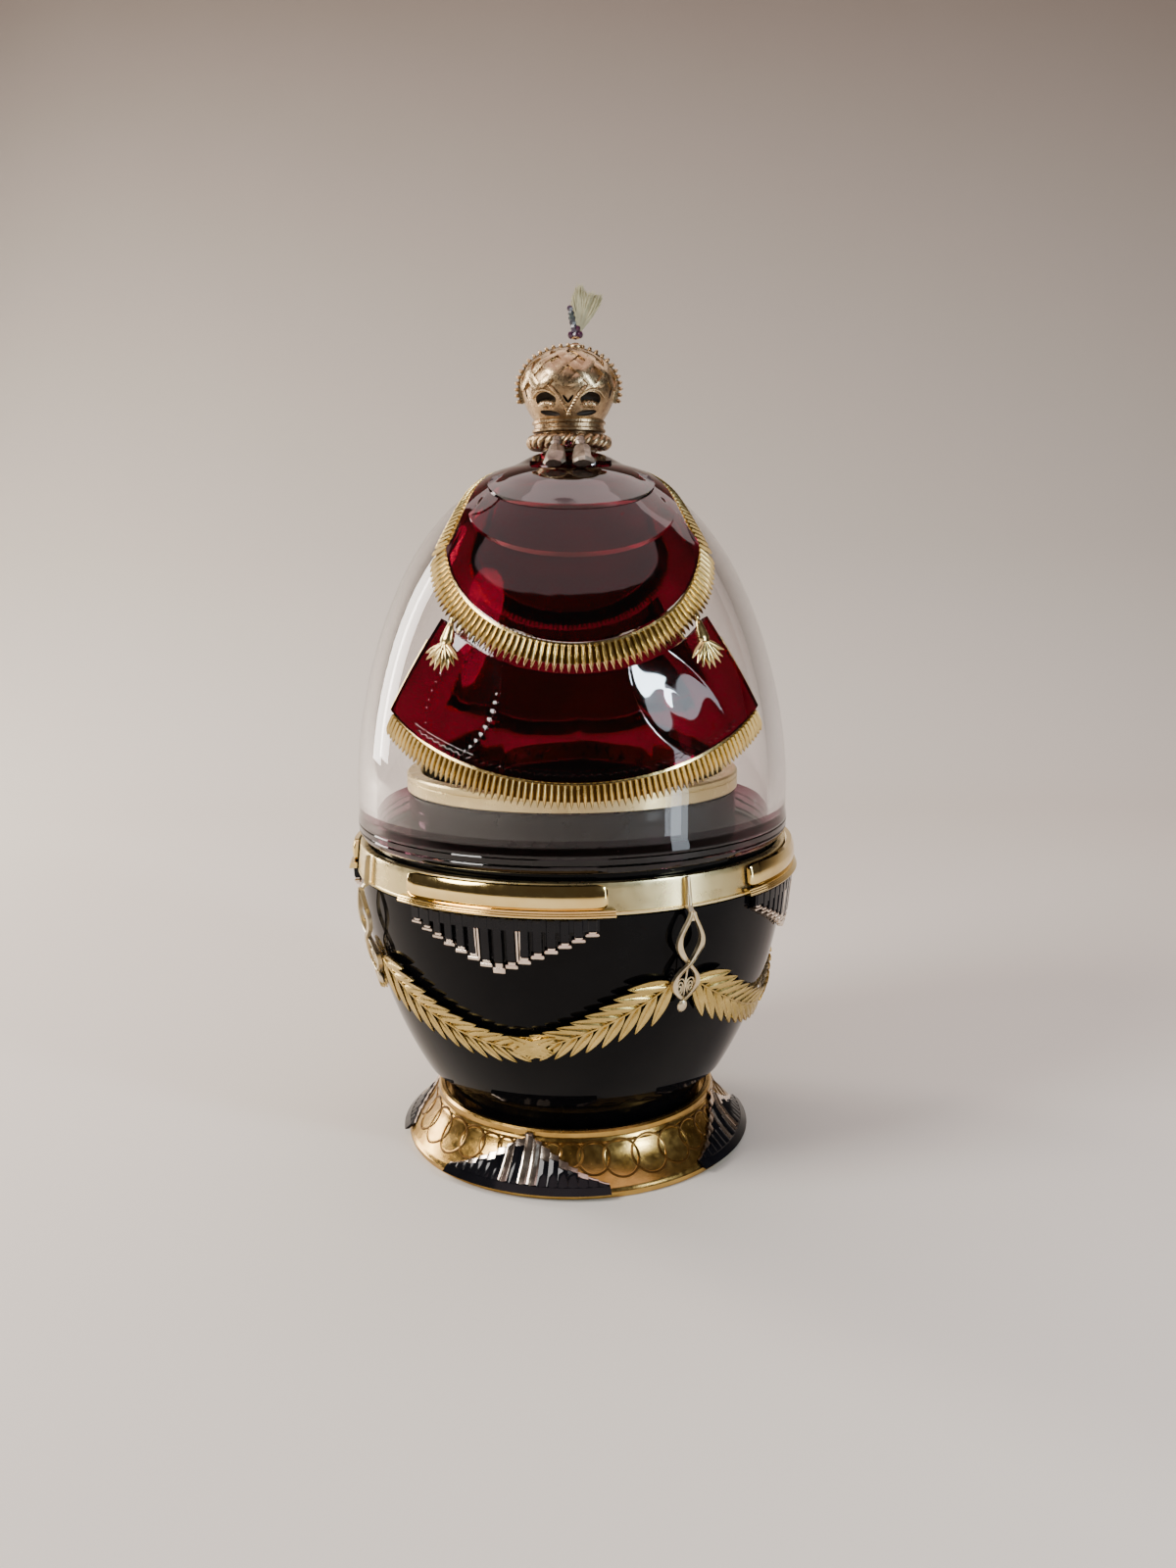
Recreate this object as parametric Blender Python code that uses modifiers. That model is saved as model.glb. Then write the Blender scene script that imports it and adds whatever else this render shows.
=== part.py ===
"""A jewelled egg on a flared foot: a black glass cup, a clear lift-off dome and gilt mounts.

Everything is in metres, +Z up. The origin is the centre of the foot's underside and the
front of the egg faces -Y. Azimuths run from the front towards +X.
"""

import math

import bmesh
import bpy
from mathutils import Matrix, Vector

MM = 0.001
GAP = 0.3 * MM
FACETS = 26
TRIM_FACETS = 12
SHARP_ANGLE = math.radians(35.0)

# Foot ring
FOOT_HEIGHT = 10.1 * MM
FOOT_BASE_RADIUS = 33.0 * MM
FOOT_TOP_RADIUS = 27.0 * MM
FOOT_TOP_WALL = 1.4 * MM
FOOT_BASE_WALL = 4.5 * MM
FOOT_LIP_HEIGHT = 1.2 * MM
FOOT_SHELF_DEPTH = 2.1 * MM
FOOT_SHELF_WIDTH = 5.0 * MM
FOOT_SHELF_THICKNESS = 1.6 * MM
FOOT_FLARE = 1.8
FOOT_FLARE_STATIONS = (0.0, 0.4, 0.75, 1.0)

# Black glass cup, its neck and the gilt ring on it
CUP_HEIGHT = 45.2 * MM
CUP_RADIUS = 40.6 * MM
CUP_WALL = 3.2 * MM
CUP_FLOOR = 4.7 * MM
CUP_SEAT_CLEARANCE = 1.0 * MM
BAND_HEIGHT = 6.9 * MM
BAND_FLARE = 2.8 * MM
BAND_GROOVE = 0.6 * MM
BAND_WAIST_SHARE = 0.25
BAND_WAIST_RISE = 0.33
BOWL_TAPER = 1.245
BOWL_BELLY = 1.55
BOWL_ROUNDNESS = 2.367
BOWL_STATIONS = (0.0, 0.22, 0.42, 0.62, 0.82, 1.0)
BOWL_INNER_STATIONS = (0.25, 0.6)
NECK_SPACE = 6.2 * MM
NECK_WALL = 2.5 * MM
NECK_HEIGHT = 8.2 * MM
NECK_RING_HEIGHT = 3.4 * MM
NECK_RING_OVERHANG = 0.3 * MM
SHOULDER_SLOPE = 1.6 * MM

# Gilt rim around the cup's top
RIM_HEIGHT = 5.5 * MM
RIM_THICKNESS = 2.1 * MM
RIM_OVERHANG = 0.4 * MM
RIM_TAPER = 0.6 * MM
DOME_RECESS = 1.1 * MM

# Clear dome, whose foot is flush with the cup
DOME_BAND_OVERHANG = 0.2 * MM
DOME_RADIUS = CUP_RADIUS - DOME_BAND_OVERHANG
DOME_HEIGHT = 66.8 * MM
DOME_STRAIGHT = 9.4 * MM
DOME_WALL = 3.2 * MM
DOME_SHARPNESS = 1.652
DOME_ROUNDNESS = 2.61
DOME_FOOT_INSET = 0.4 * MM
DOME_BAND_RISE = 2.8 * MM
DOME_STATIONS = (0.985, 0.93, 0.84, 0.70, 0.50, 0.27, 0.0)
DOME_INNER_STATIONS = (0.0, 0.40, 0.70, 0.91, 1.0)

# Four plates on the rim, each with a stepped pendant under it
REPEATS = 4
PATTERN_TURN = math.radians(-17.0)
PLATE_HALF_ARC = math.radians(27.0)
PLATE_MARGIN = 0.2 * MM
PLATE_LIP_HEIGHT = 0.8 * MM
PLATE_LIP = 1.5 * MM
PLATE_SWELL = 1.0 * MM
PLATE_TOP = 0.45 * MM
PLATE_END_SHARE = 0.5
PLATE_COLUMNS = 6
PENDANT_BARS = 13
PENDANT_HALF_ARC = math.radians(23.5)
PENDANT_DEPTH = 9.9 * MM
PENDANT_BORDER = 1.7 * MM
PENDANT_THICKNESS = 1.3 * MM

# Four stepped panels on the foot
FOOT_PANEL_BARS = 11
FOOT_PANEL_HALF_ARC = math.radians(28.5)
FOOT_PANEL_THICKNESS = 0.8 * MM
FOOT_PANEL_BORDER = 0.9 * MM
FOOT_PANEL_TOP_MARGIN = 0.9 * MM

# Four drop ornaments between the plates
DROP_HEIGHT = 24.0 * MM
DROP_THICKNESS = 0.9 * MM
DROP_STANDOFF = 1.0 * MM
DROP_EYE_HALF_WIDTH = 2.6 * MM
DROP_LOOP_HALF_WIDTH = 2.75 * MM
DROP_BALL_RADIUS = 1.0 * MM
DROP_WIRE = 0.9 * MM
# Half-widths down the ornament as (share of its height, share of the half-width beside it)
DROP_SPIKE = ((0.0, 1.0), (0.27, 1.8))
DROP_EYE = ((0.38, 0.72), (0.49, 1.0), (0.56, 0.7))
DROP_CROSSING = (0.62, 1.9)
DROP_LOOP = ((0.69, 0.75), (0.77, 1.0), (0.84, 0.72))
DROP_JOIN = (0.90, 1.2)
DROP_BALL_SHARE = 0.96
DROP_EYE_HOLE = ((0.32, 0.0), (0.42, 0.75), (0.50, 1.0), (0.58, 0.0))
DROP_LOOP_HOLE = ((0.655, 0.0), (0.72, 0.8), (0.76, 0.0))

# Four leaf garlands between the drop ornaments
GARLAND_DROP = 11.5 * MM
GARLAND_SAG = 12.9 * MM
GARLAND_SLACKNESS = 1.75
GARLAND_MARGIN = math.radians(3.2)
GARLAND_MEETING = math.radians(6.5)
GARLAND_LONG_LEAVES = 9
GARLAND_SHORT_LEAVES = 7
GARLAND_WIDE = 3.7 * MM
GARLAND_NARROW = 2.6 * MM
GARLAND_RIB = 1.1 * MM
GARLAND_TIP = 0.9 * MM
GARLAND_NOTCH = 0.45 * MM
GARLAND_NOTCH_SHARE = 0.72
GARLAND_TIP_LAG = 0.95
GARLAND_TIP_SETBACK = 0.12

# Ruby glass drapery on the dome, the same in front and behind
DRAPE_TURN = math.radians(2.0)
TOP_DRAPE_DROP = 29.8 * MM
TOP_DRAPE_WAIST = 14.8 * MM
TOP_DRAPE_WAIST_SHARE = 0.55
TOP_DRAPE_HALF_WIDTH = 20.3 * MM
TOP_DRAPE_END_AZIMUTH = math.radians(79.0)
TOP_DRAPE_END_DROP = 0.9 * MM
TOP_DRAPE_END_LEAN = 0.13
TOP_DRAPE_END_SWEEP = 3.4
TOP_DRAPE_COLUMNS = 12
DRAPE_GAP = 0.45 * MM
DRAPE_THIN = 0.7 * MM
DRAPE_THICK = 1.4 * MM
TOP_DRAPE_FOLDS = (0.61, 0.80, 0.91, 1.0)
TOP_DRAPE_FLAT_SHARE = 0.2
TOP_DRAPE_SWELL_SHARE = 0.4
FOLD_EDGE = 0.012
SKIRT_TOP_SHARE = 0.36
SKIRT_BASE_HALF_ARC = math.radians(50.7)
SKIRT_BASE_DROP = 51.4 * MM
SKIRT_BASE_RISE = 9.7 * MM
SKIRT_FLUTES = 4
SKIRT_ROWS = 3
WIRE_STATIONS = (0.22, 0.5, 0.76, 1.0)

# Gilt fringes, edge wires and tassels on the drapery
FRINGE_WIDTH = 4.3 * MM
FRINGE_THICKNESS = 1.25 * MM
FRINGE_VALLEY = 0.75 * MM
FRINGE_SCALLOP = 0.25
FRINGE_FULL_SHARE = 0.55
FRINGE_END_WIDTH = 1.0 * MM
TOP_FRINGE_STRANDS = 17
SKIRT_FRINGE_STRANDS = 15
EDGE_WIRE_RADIUS = 0.45 * MM
TASSEL_HEIGHT = 8.6 * MM
TASSEL_RADIUS = 2.5 * MM
TASSEL_FLATNESS = 0.36
TASSEL_AZIMUTH = math.radians(33.5)
TASSEL_TOP_DROP = 27.0 * MM
TASSEL_FACETS = 8
# A bound head, a waist and spreading threads, as (share of the radius, share of the height)
TASSEL_SHAPE = ((0.0, 0.0), (0.36, 0.12), (0.40, 0.34), (0.24, 0.42), (0.85, 0.8), (1.0, 1.0), (0.0, 0.9))

# Finial
FINIAL_BASE_RADIUS = 5.0 * MM
FINIAL_BASE_HEIGHT = 2.3 * MM
ROPE_RADIUS = 6.5 * MM
ROPE_THICKNESS = 1.4 * MM
ROPE_STEPS = 24
ROPE_SIDES = 4
ROPE_TWIST = 0.5
CAP_HEIGHT = 14.5 * MM
CAP_RADIUS = 8.5 * MM
CAP_BAND_RADIUS = 6.7 * MM
CAP_BAND_HEIGHT = 2.2 * MM
CAP_BAND_ROUND = 0.6
CAP_BELLY_SHARE = 0.45
CAP_WAIST = 0.93
CAP_WAIST_FALL = 0.45
CAP_NECK = 0.92
CAP_STATIONS = tuple(math.radians(angle) for angle in (64.0, 36.0, 8.0))
CAP_FACETS = 14
ARCH_RISE = 1.4 * MM
ARCH_THICKNESS = 1.8 * MM
ARCH_TEETH = 15
ARCH_TOOTH_SHARE = 0.5
ARCH_INNER_SHARE = 0.72
ARCH_INNER_STEPS = 8
ARCH_DIP = math.radians(22.0)
STEM_HEIGHT = 6.2 * MM
STEM_RADIUS = 0.85 * MM
STEM_TIP_RADIUS = 0.5 * MM
STEM_BULB_RADIUS = 1.25 * MM
STEM_BULB_LOW = 0.25 * MM
STEM_BULB_HIGH = 0.95 * MM
STEM_BULB_TOP = 1.45 * MM
STEM_FACETS = 7
STEM_LEAN = math.radians(-9.0)
STEM_OFFSET = 1.4 * MM
PLUME_HEIGHT = 8.5 * MM
PLUME_WIDTH = 5.4 * MM
PLUME_THICKNESS = 1.6 * MM
PLUME_LEAN = math.radians(17.0)
PLUME_OFFSET = 0.8 * MM
PLUME_TIP_COUNT = 5
PLUME_START_SHARE = 0.28
PLUME_TIP_FALL = 0.06
PLUME_TIP_NOTCH = 0.86
PLUME_LEFT_SHARE = 0.46
PLUME_RIGHT_SHARE = 0.45
PLUME_HIP = (0.5, 0.43)
PLUME_ELBOW = (0.42, 0.66)
CAP_TASSEL_HEIGHT = 5.4 * MM
CAP_TASSEL_RADIUS = 1.75 * MM
CAP_TASSEL_SPACING = 4.7 * MM
CAP_TASSEL_FLATNESS = 0.5
CAP_TASSEL_TILT = math.radians(42.0)
CAP_TASSEL_FACETS = 6
CAP_TASSEL_HANG = 0.5
RUBY_RADIUS = 0.75 * MM
RUBY_HANG = 0.6

# Heights that follow from the sizes above
SHELF_Z = FOOT_HEIGHT - FOOT_SHELF_DEPTH
CUP_BASE_Z = SHELF_Z + GAP
CUP_TOP_Z = CUP_BASE_Z + CUP_HEIGHT
RIM_BASE_Z = CUP_TOP_Z + GAP
RIM_TOP_Z = RIM_BASE_Z + RIM_HEIGHT
SHOULDER_Z = RIM_TOP_Z + DOME_RECESS
DOME_BASE_Z = SHOULDER_Z + GAP
DOME_CURVE_Z = DOME_BASE_Z + DOME_STRAIGHT
DOME_TOP_Z = DOME_BASE_Z + DOME_HEIGHT
DOME_RISE = DOME_HEIGHT - DOME_STRAIGHT
NECK_TOP_Z = SHOULDER_Z + NECK_HEIGHT
FINIAL_BASE_Z = DOME_TOP_Z + GAP
FINIAL_SEAT_Z = FINIAL_BASE_Z + FINIAL_BASE_HEIGHT
ROPE_Z = FINIAL_SEAT_Z + GAP + ROPE_THICKNESS
CAP_BAND_Z = ROPE_Z + ROPE_THICKNESS + GAP
CAP_TOP_Z = CAP_BAND_Z + CAP_HEIGHT

# Radii that follow from the sizes above
CUP_BASE_RADIUS = FOOT_TOP_RADIUS - FOOT_TOP_WALL - CUP_SEAT_CLEARANCE
RIM_RADIUS = CUP_RADIUS + RIM_OVERHANG
RIM_INNER_RADIUS = RIM_RADIUS - RIM_THICKNESS
SHOULDER_RADIUS = RIM_INNER_RADIUS - GAP
DOME_INNER_RADIUS = DOME_RADIUS - DOME_WALL
NECK_RADIUS = DOME_INNER_RADIUS - NECK_SPACE
NECK_INNER_RADIUS = NECK_RADIUS - NECK_WALL


def clear_scene():
    for obj in list(bpy.data.objects):
        bpy.data.objects.remove(obj, do_unlink=True)


def new_collection(name):
    collection = bpy.data.collections.new(name)
    bpy.context.scene.collection.children.link(collection)
    return collection


def new_material(name, colour, roughness, metallic, transmission=0.0):
    material = bpy.data.materials.new(name)
    material.use_nodes = True
    shader = material.node_tree.nodes["Principled BSDF"]
    shader.inputs["Base Color"].default_value = (*colour, 1.0)
    shader.inputs["Roughness"].default_value = roughness
    shader.inputs["Metallic"].default_value = metallic
    shader.inputs["Transmission Weight"].default_value = transmission
    return material


def add_object(name, data, material, collection):
    obj = bpy.data.objects.new(name, data)
    obj.data.materials.append(material)
    collection.objects.link(obj)
    return obj


def add_bmesh(name, bm, material, collection, smooth=True):
    mesh = bpy.data.meshes.new(name)
    bm.to_mesh(mesh)
    bm.free()
    if smooth:
        mesh.shade_smooth()
        mesh.set_sharp_from_angle(angle=SHARP_ANGLE)
    return add_object(name, mesh, material, collection)


def turned(name, profile, material, collection, closed=False, facets=FACETS):
    """A profile of (radius, height), down its outer side, spun around Z."""
    mesh = bpy.data.meshes.new(name)
    count = len(profile)
    edges = [(i, i + 1) for i in range(count - 1)]
    if closed:
        edges.append((count - 1, 0))
    mesh.from_pydata([(r, 0.0, z) for r, z in profile], edges, [])
    obj = add_object(name, mesh, material, collection)
    screw = obj.modifiers.new("turn", "SCREW")
    screw.axis = "Z"
    screw.steps = facets
    screw.render_steps = facets
    screw.use_merge_vertices = True
    screw.merge_threshold = MM / 100.0
    screw.use_smooth_shade = True
    return obj


def at(azimuth, radius, height):
    """The point at this azimuth from the front, radius and height."""
    return Vector((radius * math.sin(azimuth), -radius * math.cos(azimuth), height))


def blend(low, high, share):
    return low + (high - low) * share


def foot_radius_at(z):
    """The foot's concave flare, above its lip."""
    share = (FOOT_HEIGHT - z) / (FOOT_HEIGHT - FOOT_LIP_HEIGHT)
    share = min(max(share, 0.0), 1.0)
    return blend(FOOT_TOP_RADIUS, FOOT_BASE_RADIUS, share**FOOT_FLARE)


def flare_stations():
    """(radius, height) of the flare's corners, top to bottom."""
    heights = [blend(FOOT_HEIGHT, FOOT_LIP_HEIGHT, share) for share in FOOT_FLARE_STATIONS]
    return [(foot_radius_at(z), z) for z in heights]


def foot_skin_at(z):
    """The flare as it is faceted, corner to corner."""
    stations = flare_stations()
    for (upper_radius, upper), (lower_radius, lower) in zip(stations, stations[1:]):
        if z >= lower:
            return blend(lower_radius, upper_radius, (z - lower) / (upper - lower))
    return FOOT_BASE_RADIUS


def bowl_radius_at(z):
    """The outside of the bowl, from its base band up to the rim."""
    share = (CUP_TOP_Z - z) / (CUP_HEIGHT * BOWL_TAPER)
    share = min(max(share, 0.0), 1.0)
    return CUP_RADIUS * (1.0 - share**BOWL_BELLY) ** (1.0 / BOWL_ROUNDNESS)


def rim_radius_at(z):
    return blend(RIM_RADIUS, RIM_RADIUS - RIM_TAPER, (z - RIM_BASE_Z) / RIM_HEIGHT)


def dome_radius_at(z, wall=0.0):
    """The dome's outside, or its inside where a wall is given."""
    share = min(max((z - DOME_CURVE_Z) / (DOME_RISE - wall), 0.0), 1.0)
    return (DOME_RADIUS - wall) * (1.0 - share**DOME_SHARPNESS) ** (1.0 / DOME_ROUNDNESS)


def dome_height_at(radius):
    share = max(1.0 - (radius / DOME_RADIUS) ** DOME_ROUNDNESS, 0.0)
    return DOME_CURVE_Z + DOME_RISE * share ** (1.0 / DOME_SHARPNESS)


def on_dome(azimuth, radius, z, lift):
    """A point of the dome's outside, lifted along its normal."""
    share = min(max((z - DOME_CURVE_Z) / DOME_RISE, 0.0), 1.0)
    outwards = DOME_ROUNDNESS / DOME_RADIUS * (radius / DOME_RADIUS) ** (DOME_ROUNDNESS - 1.0)
    upwards = DOME_SHARPNESS / DOME_RISE * share ** (DOME_SHARPNESS - 1.0)
    length = math.hypot(outwards, upwards)
    return at(azimuth, radius + lift * outwards / length, z + lift * upwards / length)


def on_dome_at_height(azimuth, z, lift):
    return on_dome(azimuth, dome_radius_at(z), z, lift)


def grid(columns, rows, shape):
    """A flat sheet of columns by rows, whose points shape(u, v) puts at (s, t, height)."""
    bm = bmesh.new()
    bmesh.ops.create_grid(bm, x_segments=columns, y_segments=rows, size=0.5)
    for vert in bm.verts:
        vert.co = shape(vert.co.x + 0.5, vert.co.y + 0.5)
    return bm


def face_outwards(bm):
    bmesh.ops.recalc_face_normals(bm, faces=list(bm.faces))
    if bm.calc_volume(signed=True) < 0.0:
        bmesh.ops.reverse_faces(bm, faces=list(bm.faces))


def raised(name, bm, place, material, collection):
    """Gives a mesh of (s, t, height) points its back, and puts it where place(s, t, height) says."""
    front = bmesh.ops.extrude_face_region(bm, geom=list(bm.faces), use_keep_orig=True)
    front_points = {item for item in front["geom"] if isinstance(item, bmesh.types.BMVert)}
    for vert in bm.verts:
        if vert not in front_points:
            vert.co.z = 0.0
    for vert in bm.verts:
        vert.co = place(*vert.co)
    face_outwards(bm)
    return add_bmesh(name, bm, material, collection)


def stairs(bars, half_arc, low, step, border, height):
    """Bars side by side, tallest in the middle, from a straight border: points are (azimuth, z, height)."""
    bm = bmesh.new()
    middle = bars // 2
    found = {}

    def point(line, level):
        key = (line, level)
        if key not in found:
            azimuth = blend(-half_arc, half_arc, line / bars)
            z = low if level == 0 else low + border + step * (level - 1)
            found[key] = bm.verts.new((azimuth, z, height))
        return found[key]

    levels = [0] + [middle + 2 - abs(bar - middle) for bar in range(bars)] + [0]
    for bar in range(bars):
        left, own, right = levels[bar : bar + 3]
        corners = [point(bar, 0), point(bar + 1, 0)]
        if 0 < right < own:
            corners.append(point(bar + 1, right))
        corners += [point(bar + 1, own), point(bar, own)]
        if 0 < left < own:
            corners.append(point(bar, left))
        bm.faces.new(corners)
    return bm


def make_foot_ring(material, collection):
    """A flared hollow ring with a lip below and a shelf inside that carries the cup."""
    top_inner = FOOT_TOP_RADIUS - FOOT_TOP_WALL
    shelf_inner = top_inner - FOOT_SHELF_WIDTH
    shelf_under = SHELF_Z - FOOT_SHELF_THICKNESS
    profile = flare_stations() + [
        (FOOT_BASE_RADIUS, 0.0),
        (FOOT_BASE_RADIUS - FOOT_BASE_WALL, 0.0),
        (top_inner, shelf_under),
        (shelf_inner, shelf_under),
        (shelf_inner, SHELF_Z),
        (top_inner, SHELF_Z),
        (top_inner, FOOT_HEIGHT),
    ]
    turned("foot_ring", profile, material, collection, closed=True)


def make_foot_panels(material, collection):
    low = FOOT_LIP_HEIGHT
    rows = FOOT_PANEL_BARS // 2 + 1
    step = (FOOT_HEIGHT - FOOT_PANEL_TOP_MARGIN - low - FOOT_PANEL_BORDER) / rows
    for k in range(REPEATS):
        turn = PATTERN_TURN + math.tau * k / REPEATS

        def place(azimuth, z, height, turn=turn):
            return at(turn + azimuth, foot_skin_at(z) + GAP + height, z)

        bm = stairs(
            FOOT_PANEL_BARS, FOOT_PANEL_HALF_ARC, low, step, FOOT_PANEL_BORDER, FOOT_PANEL_THICKNESS
        )
        raised(f"foot_panel_{k + 1}", bm, place, material, collection)


def make_cup(material, collection):
    """The hollow bowl with its base band, shelf for the rim, shoulder for the dome and neck."""
    band_top_z = CUP_BASE_Z + BAND_HEIGHT
    floor_z = CUP_BASE_Z + CUP_FLOOR
    profile = [(0.0, floor_z), (CUP_BASE_RADIUS - CUP_WALL, floor_z)]
    for share in BOWL_INNER_STATIONS:
        z = blend(floor_z, CUP_TOP_Z, share)
        profile.append((bowl_radius_at(z) - CUP_WALL, z))
    profile += [
        (SHOULDER_RADIUS - CUP_WALL, CUP_TOP_Z),
        (NECK_INNER_RADIUS, SHOULDER_Z - SHOULDER_SLOPE),
        (NECK_INNER_RADIUS, NECK_TOP_Z),
        (NECK_RADIUS, NECK_TOP_Z),
        (NECK_RADIUS, SHOULDER_Z),
        (SHOULDER_RADIUS, SHOULDER_Z),
        (SHOULDER_RADIUS, CUP_TOP_Z),
    ]
    for share in BOWL_STATIONS:
        z = blend(CUP_TOP_Z, band_top_z + BAND_GROOVE, share)
        profile.append((bowl_radius_at(z), z))
    profile += [
        (CUP_BASE_RADIUS + BAND_FLARE, band_top_z),
        (CUP_BASE_RADIUS + BAND_FLARE * BAND_WAIST_SHARE, CUP_BASE_Z + BAND_HEIGHT * BAND_WAIST_RISE),
        (CUP_BASE_RADIUS, CUP_BASE_Z),
        (0.0, CUP_BASE_Z),
    ]
    turned("cup", profile, material, collection)


def make_cup_rim(material, collection):
    profile = [
        (RIM_RADIUS - RIM_TAPER, RIM_TOP_Z),
        (RIM_RADIUS, RIM_BASE_Z),
        (RIM_INNER_RADIUS, RIM_BASE_Z),
        (RIM_INNER_RADIUS, RIM_TOP_Z),
    ]
    turned("cup_rim", profile, material, collection, closed=True)


def make_neck_ring(material, collection):
    outer = NECK_RADIUS + NECK_RING_OVERHANG
    inner = NECK_INNER_RADIUS
    base = NECK_TOP_Z + GAP
    profile = [
        (outer, base + NECK_RING_HEIGHT),
        (outer, base),
        (inner, base),
        (inner, base + NECK_RING_HEIGHT),
    ]
    turned("neck_ring", profile, material, collection, closed=True)


def make_rim_plates(material, collection):
    """Swelling plates whose lower lip stands out furthest, fading out at both ends."""
    lip_low = RIM_BASE_Z + PLATE_MARGIN
    lip_top = lip_low + PLATE_LIP_HEIGHT
    top = RIM_TOP_Z - PLATE_MARGIN
    rows = [
        (lip_low, PLATE_LIP),
        (lip_top, PLATE_LIP),
        (lip_top + GAP, PLATE_SWELL),
        (blend(lip_top, top, 0.5), PLATE_SWELL),
        (top, PLATE_TOP),
    ]

    def shape(u, v):
        z, height = rows[round(v * (len(rows) - 1))]
        at_end = u in (0.0, 1.0)
        if at_end and z > lip_top:
            height *= PLATE_END_SHARE
        return (blend(-PLATE_HALF_ARC, PLATE_HALF_ARC, u), z, height)

    for k in range(REPEATS):
        turn = PATTERN_TURN + math.tau * k / REPEATS

        def place(azimuth, z, height, turn=turn):
            return at(turn + azimuth, rim_radius_at(z) + GAP + height, z)

        bm = grid(PLATE_COLUMNS, len(rows) - 1, shape)
        raised(f"rim_plate_{k + 1}", bm, place, material, collection)


def make_stepped_pendants(material, collection):
    """Bars hanging under each plate, longest in the middle."""
    rows = PENDANT_BARS // 2 + 1
    step = (PENDANT_DEPTH - PENDANT_BORDER) / rows
    top = RIM_BASE_Z - GAP
    for k in range(REPEATS):
        turn = PATTERN_TURN + math.tau * k / REPEATS

        def place(azimuth, hang, height, turn=turn):
            z = top - hang
            return at(turn + azimuth, bowl_radius_at(z) + GAP + height, z)

        bm = stairs(PENDANT_BARS, PENDANT_HALF_ARC, 0.0, step, PENDANT_BORDER, PENDANT_THICKNESS)
        raised(f"stepped_pendant_{k + 1}", bm, place, material, collection)


def scaled(shares, width):
    """(share of height, half-width) pairs from shares of a width."""
    return [(down, share * width) for down, share in shares]


def drop_outline():
    """Half-widths down the drop ornament, as (share of its height from the top, half-width)."""
    wire = DROP_WIRE / 2.0
    outline = scaled(DROP_SPIKE, wire)
    outline += scaled(DROP_EYE, DROP_EYE_HALF_WIDTH)
    outline += scaled([DROP_CROSSING], wire)
    outline += scaled(DROP_LOOP, DROP_LOOP_HALF_WIDTH)
    outline += scaled([DROP_JOIN], wire)
    return outline + [(DROP_BALL_SHARE, DROP_BALL_RADIUS), (1.0, wire)]


def drop_holes():
    """The openings of the two loops, as (share of height, half-width) down one side."""
    eye = scaled(DROP_EYE_HOLE, DROP_EYE_HALF_WIDTH - DROP_WIRE)
    return [eye, scaled(DROP_LOOP_HOLE, DROP_LOOP_HALF_WIDTH - DROP_WIRE)]


def add_flat_spline(curve, points):
    spline = curve.splines.new("POLY")
    spline.points.add(len(points) - 1)
    for slot, (x, y) in zip(spline.points, points):
        slot.co = (x, y, 0.0, 1.0)
    spline.use_cyclic_u = True


def flat_outline_mesh(name, outlines, thickness, collection):
    """A flat outline with its openings, filled and extruded, as a welded mesh."""
    curve = bpy.data.curves.new(name, "CURVE")
    curve.dimensions = "2D"
    curve.fill_mode = "BOTH"
    curve.extrude = thickness / 2.0
    for points in outlines:
        add_flat_spline(curve, points)
    guide = bpy.data.objects.new(name + "_outline", curve)
    collection.objects.link(guide)
    bpy.context.view_layer.update()
    depsgraph = bpy.context.evaluated_depsgraph_get()
    mesh = bpy.data.meshes.new_from_object(guide.evaluated_get(depsgraph))
    bpy.data.objects.remove(guide, do_unlink=True)
    bm = bmesh.new()
    bm.from_mesh(mesh)
    bpy.data.meshes.remove(mesh)
    bmesh.ops.remove_doubles(bm, verts=list(bm.verts), dist=MM / 1000.0)
    bmesh.ops.recalc_face_normals(bm, faces=list(bm.faces))
    return bm


def both_sides(half):
    """A closed outline from (share, half-width) pairs, in (across, down) metres."""
    right = [(width, share * DROP_HEIGHT) for share, width in half]
    left = [(-x, y) for x, y in reversed(right) if x > 0.0]
    return right + left


def make_drop_ornaments(material, collection):
    """Flat wire drops with two loops, hung from the rim's top and standing off the bowl."""
    outlines = [both_sides(drop_outline())] + [both_sides(hole) for hole in drop_holes()]
    top = RIM_TOP_Z
    for k in range(REPEATS):
        turn = PATTERN_TURN + math.tau * (k + 0.5) / REPEATS
        bm = flat_outline_mesh(f"drop_{k + 1}", outlines, DROP_THICKNESS, collection)
        for vert in bm.verts:
            across, down, depth = vert.co
            z = top - down
            if z > RIM_BASE_Z:
                under = rim_radius_at(z) + GAP
            else:
                hang = (RIM_BASE_Z - z) / (DROP_HEIGHT - RIM_HEIGHT)
                under = bowl_radius_at(z) + GAP + DROP_STANDOFF + (1.0 - hang) * RIM_OVERHANG
            vert.co = Matrix.Rotation(turn, 3, "Z") @ Vector(
                (across, -(under + DROP_THICKNESS / 2.0 + depth), z)
            )
        bmesh.ops.recalc_face_normals(bm, faces=list(bm.faces))
        add_bmesh(f"drop_ornament_{k + 1}", bm, material, collection)


def garland_centre(azimuth):
    """Height of the garland's midrib at this azimuth from its middle."""
    reach = math.pi / REPEATS
    low = RIM_BASE_Z - GARLAND_DROP - GARLAND_SAG
    return low + GARLAND_SAG * abs(azimuth / reach) ** GARLAND_SLACKNESS


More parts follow.
